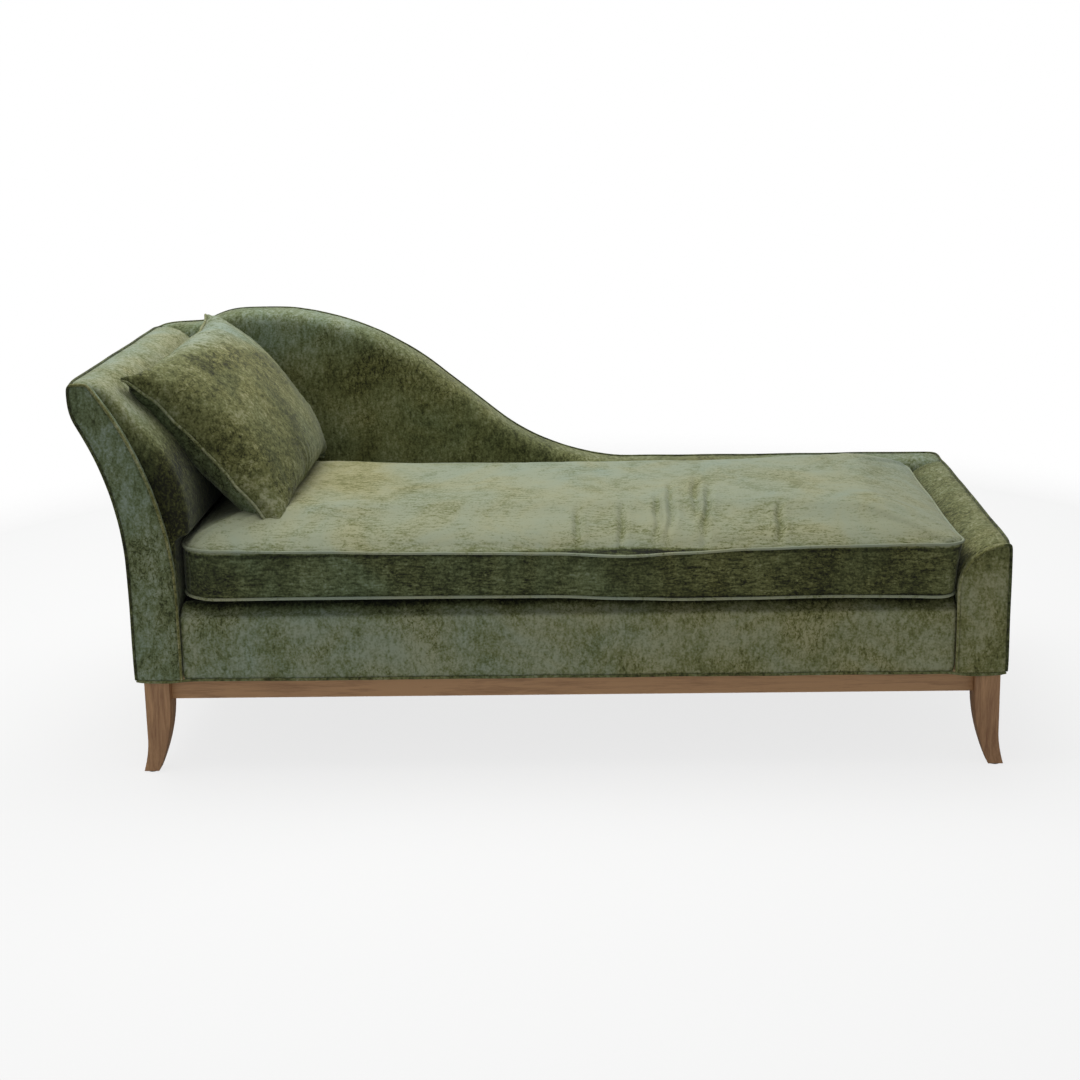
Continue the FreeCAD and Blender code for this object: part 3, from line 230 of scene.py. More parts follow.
def filled_cloth(data, pressure, cap, pinned=None):
    """The skin pushed out by its filling, each point by no more than cap."""
    scene = bpy.context.scene
    holder = bpy.data.objects.new("Filling", data)
    scene.collection.objects.link(holder)
    cloth = holder.modifiers.new("Cloth", "CLOTH")
    settings = cloth.settings
    settings.quality = FILLING_QUALITY
    settings.use_pressure = True
    settings.uniform_pressure_force = pressure
    settings.effector_weights.gravity = 0
    if pinned:
        seam = holder.vertex_groups.new(name="Seam")
        seam.add([v.index for v in data.vertices if pinned(v.co)], 1, "REPLACE")
        settings.vertex_group_mass = "Seam"
    cloth.point_cache.frame_start = 1
    cloth.point_cache.frame_end = FILLING_FRAMES
    for number in range(1, FILLING_FRAMES + 1):
        scene.frame_set(number)
    blown = evaluated_mesh(holder)
    rest = [v.co.copy() for v in data.vertices]
    bpy.data.objects.remove(holder)
    for vertex, start in zip(blown.vertices, rest):
        step = vertex.co - start
        if step.length > cap:
            vertex.co = start + step.normalized() * cap
    scene.frame_set(1)
    blown.shade_smooth()
    return blown


def ribs(along, across, spacing, seed):
    """Uneven ribs in clusters: along counts them, across is how far down a rib, in metres."""
    fine = noise.noise(Vector((along / (spacing * MM), across * 7, seed)))
    cluster = noise.noise(Vector((along * 7, across * 2, seed + 40)))
    return fine * max(0.25 + 1.4 * cluster, 0.1)


# Routes of piping

LEAST_ARC_PARTS = 4
ARC_PART = radians(8)
# Distance of a cord's middle from its cloth, in radii, and rounds of smoothing along it
CORD_SEAT = 0.85
CORD_SMOOTHING = 3


def corner_reaches(corners, radii, closed):
    """How far each corner turns, and how far its arc reaches along its two runs."""
    count = len(corners)
    turns = [0.0] * count
    reach = [0.0] * count
    for i in range(count):
        if radii[i]:
            before = (corners[i] - corners[i - 1]).normalized()
            after = (corners[(i + 1) % count] - corners[i]).normalized()
            turns[i] = atan2(before.x * after.y - before.y * after.x, before.dot(after))
            reach[i] = radii[i] * abs(tan(turns[i] / 2))
    for i in range(count if closed else count - 1):
        j = (i + 1) % count
        room = (corners[j] - corners[i]).length / (reach[i] + reach[j] + 1e-9)
        if room < 1:
            reach[i] *= room
            reach[j] *= room
    return turns, reach


def corner_arc(before, corner, after, turn, reach, step):
    """Points along the arc that rounds one corner of a route."""
    before = (corner - before).normalized()
    after = (after - corner).normalized()
    radius = reach / abs(tan(turn / 2))
    centre = corner + (after - before).normalized() * (radius / cos(turn / 2))
    arm = corner - before * reach - centre
    parts = max(LEAST_ARC_PARTS, int(abs(turn) * radius / step), int(abs(turn) / ARC_PART))
    return [centre + Matrix.Rotation(turn * k / parts, 2) @ arm for k in range(parts + 1)]


def rounded(points, closed=False, step=12):
    """Points along a route of (a, b, radius) corners, in millimetres."""
    corners = [Vector(p[:2]) for p in points]
    radii = [p[2] for p in points]
    if not closed:
        radii[0] = radii[-1] = 0
    turns, reach = corner_reaches(corners, radii, closed)
    route = []
    for i, corner in enumerate(corners):
        if reach[i] == 0:
            route.append(corner)
        else:
            after = corners[(i + 1) % len(corners)]
            route += corner_arc(corners[i - 1], corner, after, turns[i], reach[i], step)
    spaced = []
    for i in range(len(route) if closed else len(route) - 1):
        a = route[i]
        b = route[(i + 1) % len(route)]
        parts = max(1, round((b - a).length / step))
        spaced += [a.lerp(b, k / parts) for k in range(parts)]
    if not closed:
        spaced.append(route[-1])
    return spaced


def nestle(route, closed, *pieces):
    """Seats a cord's route against the cloth of the pieces beside it."""
    bpy.context.view_layer.update()
    skins = [bpy.data.objects[piece] for piece in pieces]
    clear = bpy.context.scene.chaise_padding.cord * CORD_SEAT
    seated = []
    for co in route:
        hits = [skin.closest_point_on_mesh(co)[1:3] for skin in skins]
        near, normal = min(hits, key=lambda hit: (hit[0] - co).length)
        out = co - near
        if out.dot(normal) < 0:
            out = normal
        seated.append(near + out.normalized() * clear)
    count = len(seated)
    for _ in range(CORD_SMOOTHING):
        before = list(seated)
        for i in range(0 if closed else 1, count if closed else count - 1):
            around = (before[i - 1] + before[(i + 1) % count]) / 2
            seated[i] = before[i].lerp(around, 0.4)
    return seated


def side_route(points, y):
    """A route drawn from the front, in metres at a depth in millimetres."""
    return [Vector((p.x, y, p.y)) * MM for p in rounded(points)]


def plan_route(points, z, closed=False, step=12):
    """A route drawn from above, in metres at a height in millimetres."""
    return [Vector((p.x, p.y, z)) * MM for p in rounded(points, closed, step)]


def piping(name, route, beside, body, closed, tone, *nodes):
    """A round cord in cloth along a route in metres, seated against the pieces beside it."""
    route = nestle(route, closed, *beside)
    curve = bpy.data.curves.new(name, "CURVE")
    curve.dimensions = "3D"
    curve.bevel_depth = bpy.context.scene.chaise_padding.cord
    curve.bevel_resolution = 3
    curve.use_fill_caps = True
    spline = curve.splines.new("POLY")
    spline.points.add(len(route) - 1)
    for point, co in zip(spline.points, route):
        point.co = (*co, 1)
    spline.use_cyclic_u = closed
    holder = bpy.data.objects.new("Route", curve)
    bpy.context.scene.collection.objects.link(holder)
    data = evaluated_mesh(holder)
    bpy.data.objects.remove(holder)
    data.name = name
    data.shade_smooth()
    paint(data, tone)
    new_piece(name, data, body, "piping_cloth", cloth_material("piping"), *nodes)


# Materials

# Sizes of the chenille's patterns in millimetres: patches of crushed pile, changes of hue,
# and the pile's fine fluff, drawn coarser than the real 1 mm so that it shows
PATCH, HUE, NAP = 111.1, 181.8, 4.762
# Near black: painted deep shade, where the stored tone falls below the dark colour
PAINTED_DEEP_SHADE = "#15170d"
SHEEN_TINT = "#dfe6dc"
# Size of the streaks of yarn along X, Y and Z in millimetres, and how crushed the pile is
CHENILLE_USES = {
    "cushion": ((22.22, 5.263, 5.263), 0.9),
    "pillow": ((14.29, 14.29, 14.29), 1.0),
    "padding": ((9.091, 9.091, 16.67), 0.8),
    "piping": ((11.11, 11.11, 11.11), 0.8),
}
# Clouds in the oak's colour, and its grain lines across and along, in millimetres
OAK_CLOUD = 200
GRAIN_WIDTH, LEG_GRAIN_WIDTH, GRAIN_LENGTH = 7.692, 9.091, 111.1
# Sockets of a mix node, whose names repeat
MIX_SHARE, VALUE_A, VALUE_B, COLOUR_A, COLOUR_B = 0, 2, 3, 6, 7
MIXED_COLOUR = 2


def add(tree, kind, values=None, out=0, stops=None, **settings):
    """Adds a shader node with its settings, its colour stops, and its values or links by socket.

    Gives back one of its outputs, the first unless out names another.
    """
    node = tree.nodes.new("ShaderNode" + kind)
    for key, value in settings.items():
        setattr(node, key, value)
    if stops:
        ramp = node.color_ramp.elements
        while len(ramp) < len(stops):
            ramp.new(0.5)
        for element, (place, colour) in zip(ramp, stops):
            element.position = place
            element.color = colour
    for socket, value in (values or {}).items():
        if isinstance(value, bpy.types.NodeSocket):
            tree.links.new(value, node.inputs[socket])
        else:
            node.inputs[socket].default_value = value
    return node.outputs[out] if node.outputs else None


def new_material(name):
    """A material, its emptied node tree and the object's own coordinates."""
    material = bpy.data.materials.new(name)
    material.use_nodes = True
    tree = material.node_tree
    tree.nodes.clear()
    return material, tree, add(tree, "TexCoord", out="Object")


def blend(tree, parts, start):
    """Adds up shares of several values, each about its middle of a half."""
    total = start
    for value, share in parts:
        centred = add(tree, "Math", {0: value, 1: share, 2: -share / 2},
                      operation="MULTIPLY_ADD")
        total = add(tree, "Math", {0: total, 1: centred})
    return total


def parting_marks(tree, along, hue):
    """Winding marks 10 to 20 mm long where the pile parts, in places."""
    wind = add(tree, "TexNoise", {"Vector": along, "Scale": 0.62, "Detail": 3.0,
                                  "Roughness": 0.6, "Distortion": 1.2})
    off = add(tree, "Math", {0: wind, 1: 0.5}, operation="SUBTRACT")
    off = add(tree, "Math", {0: off}, operation="ABSOLUTE")
    line = add(tree, "MapRange", {"Value": off, "From Min": 0.0, "From Max": 0.045,
                                  "To Min": 1.0, "To Max": 0.0})
    where = add(tree, "MapRange", {"Value": hue, "From Min": 0.45, "From Max": 0.62})
    return add(tree, "Math", {0: line, 1: where}, operation="MULTIPLY")


def chenille(name, yarn_size, crush):
    """Woven chenille: a soft pile, mottled where it is crushed, with uneven streaks of yarn.

    To the eye: pale bluish and deep olive patches a hand wide, streaks along the yarn, fine
    winding marks where the pile parts, and a bloom of light on slopes.
    """
    material, tree, place = new_material(name)
    cloth = bpy.context.scene.chaise_cloth
    nap_and_painted_light = add(tree, "Attribute", out="Fac", attribute_name="NapAndPaintedLight")
    warmth_and_painted_light = add(tree, "Attribute", out="Fac", attribute_name="WarmthAndPaintedLight")
    patch = add(tree, "TexNoise", {"Vector": place, "Scale": 1000 / PATCH, "Detail": 5.0,
                                   "Roughness": 0.6, "Distortion": 0.7})
    shift = add(tree, "VectorMath", {0: place, 1: (3.0, 7.0, 5.0)})
    hue = add(tree, "TexNoise", {"Vector": shift, "Scale": 1000 / HUE, "Detail": 3.0,
                                 "Roughness": 0.6, "Distortion": 0.8})
    streaks = tuple(1000 / size for size in yarn_size)
    along = add(tree, "Mapping", {"Vector": place, "Scale": streaks})
    yarn = add(tree, "TexNoise", {"Vector": along, "Scale": 1.0, "Detail": 6.0,
                                  "Roughness": 0.65})
    fluff = add(tree, "TexNoise", {"Vector": place, "Scale": 1000 / NAP, "Detail": 3.0,
                                   "Roughness": 0.6})
    # How pale the pile is starts from its stored tone: the pile's own lie together with painted
    # light and shade
    base = add(tree, "Math", {0: nap_and_painted_light, 1: 0.25, 2: 0.5}, operation="MULTIPLY_ADD")
    tone = blend(tree, ((patch, 0.85 * crush), (yarn, 1.0), (fluff, 0.75)), base)
    tone = add(tree, "Math", {0: parting_marks(tree, along, hue), 1: -0.3, 2: tone},
               operation="MULTIPLY_ADD")
    # Stops from painted deep shade through the dark, middle and pale colours, whose ends also
    # carry painted shade and light
    shade = add(tree, "ValToRGB", {"Fac": tone},
                stops=[(0.0, hex_colour(PAINTED_DEEP_SHADE)), (0.25, list(cloth.dark)),
                       (0.5, list(cloth.mid)), (0.78, list(cloth.light))])
    # Tint from the stored warm value: olive in a painted shadow, bluish in painted sheen, hue at
    # random
    middle = add(tree, "Math", {0: warmth_and_painted_light, 1: 0.5, 2: 0.5}, operation="MULTIPLY_ADD")
    tinted = blend(tree, ((hue, 1.4),), middle)
    tint = add(tree, "Mix", {MIX_SHARE: tinted, COLOUR_A: list(cloth.cool),
                             COLOUR_B: list(cloth.warm)}, MIXED_COLOUR, data_type="RGBA")
    colour = add(tree, "Mix", {MIX_SHARE: 1.0, COLOUR_A: shade, COLOUR_B: tint}, MIXED_COLOUR,
                 data_type="RGBA", blend_type="MULTIPLY")
    weave = add(tree, "Bump", {"Height": fluff, "Strength": 0.45, "Distance": 0.0012})
    slubs = add(tree, "Bump", {"Height": yarn, "Strength": 0.4, "Distance": 0.002,
                               "Normal": weave})
    shader = add(tree, "BsdfPrincipled", {
        "Base Color": colour, "Roughness": 0.85, "Specular IOR Level": 0.2, "Normal": slubs,
        "Sheen Weight": 0.2, "Sheen Roughness": 0.4, "Sheen Tint": hex_colour(SHEEN_TINT)})
    add(tree, "OutputMaterial", {"Surface": shader})
    return material


def even_tone(nap_and_painted_light, warmth_and_painted_light):
    """A tone that is the same at every point of a piece."""
    return lambda p, normal: (nap_and_painted_light, warmth_and_painted_light)


def paint(data, tone):
    """Stores how pale and how warm the pile looks at each point, about -1 to 1, with painted light
    and shade.

    The tone is asked for a point in millimetres and its normal.
    """
    nap_and_painted_light = data.attributes.new("NapAndPaintedLight", "FLOAT", "POINT").data
    warmth_and_painted_light = data.attributes.new("WarmthAndPaintedLight", "FLOAT", "POINT").data
    for i, vertex in enumerate(data.vertices):
        nap_and_painted_light[i].value, warmth_and_painted_light[i].value = tone(vertex.co / MM, vertex.normal)


def oak(name, grain_size, pale=0.0):
    """Brown stained oak, planed and waxed: long dark grain, open pores and a low satin gloss."""
    wood = bpy.context.scene.chaise_wood
    material, tree, place = new_material(name)
    grain = tuple(1000 / size for size in grain_size)
    along = add(tree, "Mapping", {"Vector": place, "Scale": grain})
    lines = add(tree, "TexNoise", {"Vector": along, "Scale": 1.0, "Detail": 6.0,
                                   "Roughness": 0.6, "Distortion": 0.7})
    pores = add(tree, "TexNoise", {"Vector": along, "Scale": 6.0, "Detail": 3.0,
                                   "Roughness": 0.7})
    cloudy = add(tree, "TexNoise", {"Vector": place, "Scale": 1000 / OAK_CLOUD, "Detail": 2.0})
    mix = add(tree, "Mix", {MIX_SHARE: 0.3, VALUE_A: lines, VALUE_B: pores})
    mix = add(tree, "Mix", {MIX_SHARE: 0.25, VALUE_A: mix, VALUE_B: cloudy})
    # pale moves the stops down: a paler copy of the oak, painted light for rails that lie in shade
    shade = add(tree, "ValToRGB", {"Fac": mix},
                stops=[(0.36 - pale, list(wood.dark)), (0.6 - pale, list(wood.light))])
    bump = add(tree, "Bump", {"Height": pores, "Strength": 0.35, "Distance": 0.0006})
    shader = add(tree, "BsdfPrincipled", {"Base Color": shade, "Roughness": 0.52, "Normal": bump})
    add(tree, "OutputMaterial", {"Surface": shader})
    return material


def plain(name, dark, light, size, roughness, depth, metallic=0.0):
    """A workshop finish: two shades in grains of a size in millimetres, with a fine relief."""
    material, tree, place = new_material(name)
    grain = add(tree, "TexNoise", {"Vector": place, "Scale": 1000 / size, "Detail": 4.0,
                                   "Roughness": 0.6})
    shade = add(tree, "ValToRGB", {"Fac": grain},
                stops=[(0.35, hex_colour(dark)), (0.65, hex_colour(light))])
    bump = add(tree, "Bump", {"Height": grain, "Strength": 0.4, "Distance": depth * MM})
    shader = add(tree, "BsdfPrincipled", {"Base Color": shade, "Roughness": roughness,
                                          "Metallic": metallic, "Normal": bump})
    add(tree, "OutputMaterial", {"Surface": shader})
    return material


def cloth_material(use):
    """The chenille for one use, made once."""
    name = f"Chenille {use}"
    if name in bpy.data.materials:
        return bpy.data.materials[name]
    return chenille(name, *CHENILLE_USES[use])


def ease(value, low, high):
    """0 below low, 1 above high, and smooth between them."""
    t = min(max((value - low) / (high - low), 0), 1)
    return t * t * (3 - 2 * t)


# Body of the chaise, in millimetres: x, z and corner radius seen from the front

FRONT, REAR = -375, 375
HEAD_TOP, FOOT_TOP, CREST = 800, 458, 832
HEAD_TIP, HEAD_LOW, FACING_IN = -915, -821, -727
FOOT_TIP, FOOT_IN = 915, 813
CLOTH_LOW = 196.3
BACK_OF_HEAD = [(HEAD_LOW, CLOTH_LOW, 0), (HEAD_LOW, 580, 600), (HEAD_TIP, 742.8, 92)]
HEAD_FACING = BACK_OF_HEAD + [
    (HEAD_TIP, HEAD_TOP, 14), (-874, HEAD_TOP, 14), (FACING_IN, 590, 760),
    (FACING_IN, CLOTH_LOW, 0),
]
FOOT_FACING = [
    (FOOT_IN, CLOTH_LOW, 0), (FOOT_IN, FOOT_TOP, 95), (FOOT_TIP, FOOT_TOP, 7),
    (FOOT_TIP, CLOTH_LOW, 0),
]
WING_TOP = [(-820, HEAD_TOP, 50), (-755, CREST, 200), (-449, CREST, 640), (7, FOOT_TOP, 520)]
# Blocks that close the hollows inside the covers, so that only their outside gets a skin
HEAD_FILL = (-817, -734, -354, 288, 199, 345)
FOOT_FILL = (817, 911, -354, 288, 199, 345)
WING_FILL = (-741, 900, 294, 372, 199, 345)
CORNER_FILL, CORNER_FILL_RADIUS, CORNER_FILL_HEIGHT = (-741, 295, 255), 76, 112
GATHER_SPACING, GATHER_REACH = 13, 50
APRON_GATHER_SPACING, APRON_GATHER_REACH = 16, 30
# How far the apron's top lip has settled
LIP_DROP = 15
LINING_THICKNESS = 0.6
# How far the middle of a cord stands off the edge that it trims, and where the cord of the
# top edge starts behind the front
CORD_OFF, EDGE_START = 3.3, 6.3


def padding_shift(seed, front_gather):
    """Shallow hollows all over, and gathers beside a front facing."""
    padding = bpy.context.scene.chaise_padding
    hollow, gather = padding.hollow, padding.gather

    def shift(co, normal):
        wide = noise.noise(co * 9 + Vector((seed, 0, 0)))
        depth = (wide - 0.2) * hollow
        if front_gather:
            off = max(co.y - (FRONT + 18) * MM, 0)
            round_edge = co.z * 0.8 - co.x * 0.6
            fold = ribs(round_edge, off, GATHER_SPACING, seed)
            depth += fold * gather * 1.6 * exp(-off / (GATHER_REACH * MM))
        return normal * depth
    return shift


def upholster(name, bm, voxel, seed, front_gather, tone, *nodes):
    """One padded piece of the body: an even skin with hollows and gathers, and its tone with
    painted light and shade.
    """
    skin = even_skin(bm, name, voxel)
    moved(skin, padding_shift(seed, front_gather))
    paint(skin, tone)
    piece = new_piece(name, skin, "chaise", "body_cloth", cloth_material("padding"), *nodes)


def head_tone(p, normal):
    """Pale on top where painted light falls, olive on the inner face, and painted shade there low
    down behind the pillow.
    """
    inside = ease(p.x + p.z * 0.35, -620, -560)
    pale = 0.15 + 0.6 * max(normal.z, 0) - 1.5 * inside * ease(-p.z, -760, -600)
    return pale, -0.4 + 0.8 * inside


def foot_tone(p, normal):
    """Dark, with painted light a little paler on top, and warmer towards the front."""
    return -0.6 + 0.6 * max(normal.z, 0) ** 2, 0.1 + 0.5 * ease(-p.y, -200, 300)


def wing_tone(p, normal):
    """Painted sheen paler and bluish along the upper rim, olive below it."""
    rim = ease(p.z + 0.42 * max(p.x + 400, 0) - 0.1 * p.x, 730, 850)
    return -0.2 + 0.55 * rim, 0.45 - 1.1 * rim


def make_padding():
    """Head end, foot end and wing, each one padded skin over its covers and foam."""
    covers = ("head_outside_cover", "head_inside_cover", "head_foam")
    bm = joined_nodes(*covers)
    add_block(bm, *HEAD_FILL)
    upholster("head_upholstery", bm, 6, 3.1, True, head_tone, *covers)
    covers = ("foot_outside_cover", "foot_inside_cover", "foot_foam")
    bm = joined_nodes(*covers)
    add_block(bm, *FOOT_FILL)
    upholster("foot_upholstery", bm, 6, 7.7, True, foot_tone, *covers)
    covers = ("rear_outside_cover", "wing_inside_cover", "wing_foam")
    bm = joined_nodes(*covers, "wing_panel")
    add_block(bm, *WING_FILL)
    radius = CORNER_FILL_RADIUS * MM
    bmesh.ops.create_cone(bm, cap_ends=True, segments=64, radius1=radius, radius2=radius,
                          depth=CORNER_FILL_HEIGHT * MM,
                          matrix=Matrix.Translation(Vector(CORNER_FILL) * MM))
    upholster("wing_upholstery", bm, 7, 5.3, False, wing_tone, *covers, "skirt_wadding")


def make_facings():
    """The flat panels that close the front of the head end and foot end."""
    cloth = cloth_material("padding")
    for end, warm in (("head", -0.8), ("foot", 0.7)):
        nodes = (f"{end}_front_facing", f"{end}_facing_pad")
        skin = even_skin(joined_nodes(*nodes), f"{end}_facing", 4, rounds=6)
        bulge = padding_shift(11.0, False)
        moved(skin, lambda co, normal: bulge(co, normal) + normal * 0.0015)
        paint(skin, even_tone(0.15, warm))
        piece = new_piece(f"{end}_facing", skin, "chaise", "body_cloth", cloth, *nodes)


def make_apron():
    """The padded band below the seat cushion, gathered along its lower edge."""
    nodes = ("front_apron", "apron_edge_roll")
    skin = even_skin(joined_nodes(*nodes), "apron", 5, rounds=16)
    padding = bpy.context.scene.chaise_padding

    def shift(co, normal):
        above = co.z - CLOTH_LOW * MM
        pull = ribs(co.x, above, APRON_GATHER_SPACING, 2.0)
        pull *= exp(-above / (APRON_GATHER_REACH * MM))
        lip = ease(co.z / MM, 312, 346) * ease(-co.y / MM, 335, 362) * LIP_DROP * MM
        swell = 0.001 + noise.noise(co * 10) * padding.hollow + pull * padding.gather
        return normal * swell - Vector((0, 0, lip))

    def tone(p, normal):
        """Painted deep shade along the top lip under the cushion, and warmer towards the foot end.
        """
        return 0.6 - 3.6 * ease(p.z - p.y * 0.5, 508, 520), -0.4 + 0.9 * ease(p.x, -600, 400)

    moved(skin, shift)
    paint(skin, tone)
    piece = new_piece("apron", skin, "chaise", "body_cloth", cloth_material("padding"), *nodes)


def make_deck():
    """Lining cloth over the springs, hollow between them, and the dust cloth under the seat."""
    lining = plain("Woven black lining", "#0c0c0e", "#1d1d20", 1.5, 0.9, 0.4)
    skin = even_skin(joined_nodes("deck_cover", "deck_pad"), "deck", 8)
    moved(skin, lambda co, normal: Vector((0, 0, -abs(noise.noise(co * 6)) * 0.004)))
    piece = new_piece("deck", skin, "chaise", "lining_cloth", lining, "deck_cover", "deck_pad")
    low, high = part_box("dust_cover")
    bm = bmesh.new()
    middle = Matrix.Translation((low + high) / 2)
    size = Matrix.Diagonal(((high.x - low.x) / 2, (high.y - low.y) / 2, 1, 1))
    bmesh.ops.create_grid(bm, x_segments=90, y_segments=36, size=1, matrix=middle @ size)
    under = mesh_from(bm, "dust_cloth")

    def sag(co, _):
        edge = min(co.x - low.x, high.x - co.x, co.y - low.y, high.y - co.y)
        slack = min(edge / 0.12, 1)
        return Vector((0, 0, -(0.004 + 0.003 * noise.noise(co * 7)) * slack))

    moved(under, sag)
    under = with_modifier(under, "SOLIDIFY", thickness=LINING_THICKNESS * MM, offset=0)
    new_piece("dust_cloth", under, "chaise", "lining_cloth", lining, "dust_cover")


def facing_tone(p, normal):
    """Warm on the inner edge of a facing, and painted shade darkens the outer one."""
    outer = ease(p.x, 895, 905)
    if p.x < 0:
        outer = ease(-p.x - 0.55 * max(p.z - 560, 0), 770, 785)
    return 0.1 - 1.1 * outer, 0.9 - 0.9 * outer


def make_body_piping():
    """Cords round both facings, along the top edge and round the lower edge."""
    padding = ("head_upholstery", "wing_upholstery", "foot_upholstery")
    for end, outline in (("head", HEAD_FACING), ("foot", FOOT_FACING)):
        piping(f"{end}_facing_piping", side_route(outline, FRONT), (f"{end}_facing", "apron"),
               "chaise", False, facing_tone, f"{end}_facing_welt")
    start = FRONT + EDGE_START
    head_run = [(HEAD_TIP, start, 0), (HEAD_TIP, REAR, 80), (HEAD_TIP + 81, REAR, 0)]
    wing_run = [(HEAD_TIP + 81, HEAD_TOP, 0)] + WING_TOP + [(FOOT_TIP - 26, FOOT_TOP, 0)]
    foot_run = [(FOOT_TIP - 26, REAR, 0), (FOOT_TIP, REAR, 25), (FOOT_TIP, start, 0)]
    top = plan_route(head_run, HEAD_TOP)
    top += side_route(wing_run, REAR)[1:]
    top += plan_route(foot_run, FOOT_TOP)[1:]
    piping("top_edge_piping", top, padding, "chaise", False, even_tone(-0.9, 0.0),
           "top_edge_welt")
    front = FRONT + CORD_OFF
    around = [(HEAD_LOW, front, 0), (HEAD_LOW, REAR, 80), (FOOT_TIP, REAR, 25),
              (FOOT_TIP, front, 0)]
    piping("bottom_piping", plan_route(around, CLOTH_LOW - CORD_OFF), padding, "chaise", False,
           even_tone(-0.3, 0.3), "bottom_welt")
    across = [(HEAD_LOW + 1, FRONT + 1, 0), (FOOT_TIP - 2, FRONT + 1, 0)]
    piping("front_bottom_piping", plan_route(across, CLOTH_LOW - CORD_OFF),
           ("apron", "head_facing", "foot_facing"), "chaise", False, even_tone(-0.3, 0.3))


# Seat cushion, in millimetres

CUSHION = (-717.1, 803.1, -371.7, 279.7)
CUSHION_CORNER = 42
LOW_WELT, HIGH_WELT = 361, 454
# How far the underside hangs below the lower seam
UNDERSIDE_DROP = 15.7
# The zip in the rear boxing: its height, how far back the cloth stays, and its two ends
ZIP_LEVEL, ZIP_DEPTH, ZIP_REACH = 407.5, 277.2, (-285, 371)
TEETH, TOOTH, TOOTH_STAGGER = 206, (1.6, 0.8, 2.6), 0.4
SLIDER_EDGE = 0.9
PUCKER_SPACING, SEAM_GATHER_SPACING, SEAM_GATHER_REACH = 11, 17, 50
# How far the front seams' rise and fall reaches towards the rear
SEAM_FADE = 160
# How much rounder than the solid's each front corner is, over how long a stretch
HEAD_CORNER_TURN, FOOT_CORNER_TURN, CORNER_STRETCH = 14, -9, 75
# How far each end swells, the foot end more at the upper seam by the rise
HEAD_SWELL, FOOT_SWELL, FOOT_SWELL_RISE = 8, 4, 14
CREASE_WIDTH, CREASE_WANDER = 8, 7
# Height of the front seams above or below their level: x, lower seam, upper seam
SEAM_WAVE = [(-720, 0, 9), (-490, 1, 5), (-240, 1, 0), (13, 0, -4), (165, -6, -11),
             (275, -9, -6), (409, -8, 1), (561, -6, 5), (811, -9, 8)]
# Creases in the crown: x and y of both ends
CREASES = [(66, -345, 64, -235), (156, -365, 158, -215), (225, -330, 229, -175),
           (250, -320, 262, -90), (304, -250, 316, -40), (316, -345, 342, -115),
           (464, -350, 478, -235)]


def seam_heights(x):
    """Lower and upper seam of the cushion's front at x, as millimetres off level."""
    for (x0, a0, b0), (x1, a1, b1) in zip(SEAM_WAVE, SEAM_WAVE[1:]):
        if x <= x1:
            t = min(max((x - x0) / (x1 - x0), 0), 1)
            t = t * t * (3 - 2 * t)
            return a0 + (a1 - a0) * t, b0 + (b1 - b0) * t
    return SEAM_WAVE[-1][1:]


def corner_turn(co, x, side, change):
    """Rounds a front corner of the cushion more (change above 0) or less, in metres."""
    reach = CORNER_STRETCH * MM
    off = Vector(((x * MM + side * reach - co.x) * side, (CUSHION[2] * MM + reach - co.y)))
    if off.x <= 0 or off.y <= 0:
        return Vector()
    share = 4 * (off.x * off.y / off.length_squared) ** 2 * min(off.length / reach, 1) ** 2
    pull = off.normalized() * change * MM * share
    return Vector((pull.x * side, pull.y, 0))


def cushion_wave(co):
    """How the cushion's front seams rise and fall and its front corners turn, in metres."""
    lower, upper = seam_heights(co.x / MM)
    z = co.z / MM
    level = min(max((z - LOW_WELT) / (HIGH_WELT - LOW_WELT), 0), 1)
    inwards = max(co.y / MM - CUSHION[2], 0)
    fade = exp(-inwards / SEAM_FADE)
    rise = Vector((0, 0, (lower + (upper - lower) * level) * MM * fade))
    turns = corner_turn(co, CUSHION[0], 1, HEAD_CORNER_TURN)
    turns += corner_turn(co, CUSHION[1], -1, FOOT_CORNER_TURN)
    foot_end = (FOOT_SWELL + FOOT_SWELL_RISE * level) * ease(co.x / MM, 560, 803)
    head_end = HEAD_SWELL * ease(-co.x / MM, 520, 717)
    return rise + turns + Vector(((foot_end - head_end) * MM, 0, 0))


def round_plan(co):
    """Length round the cushion's plan and distance in from its edge, in metres."""
    x0, x1, y0, y1 = (v * MM for v in CUSHION)
    gaps = (co.x - x0, x1 - co.x, co.y - y0, y1 - co.y)
    nearest = gaps.index(min(gaps))
    along = co.y if nearest < 2 else co.x
    return along + nearest * 3, min(gaps)


def crease_depth(co):
    """How deep a crease of the crown is at a point, as a share of its full depth."""
    x = co.x / MM + CREASE_WANDER * noise.noise(Vector((co.x * 9, co.y * 16, 2)))
    y = co.y / MM
    depth = 0
    for xa, ya, xb, yb in CREASES:
        t = (y - ya) / (yb - ya)
        if -0.2 < t < 1.2:
            side = (x - (xa + (xb - xa) * t)) / CREASE_WIDTH
            window = max(sin(pi * (t + 0.2) / 1.4), 0)
            depth += (1 - side * side) * exp(-side * side / 2) * window
    return depth


def boxing_fold(along, z):
    """Puckers down the boxing at a length round it in metres and a height in millimetres."""
    return ribs(along, z * MM * 0.6, PUCKER_SPACING, 1.0)


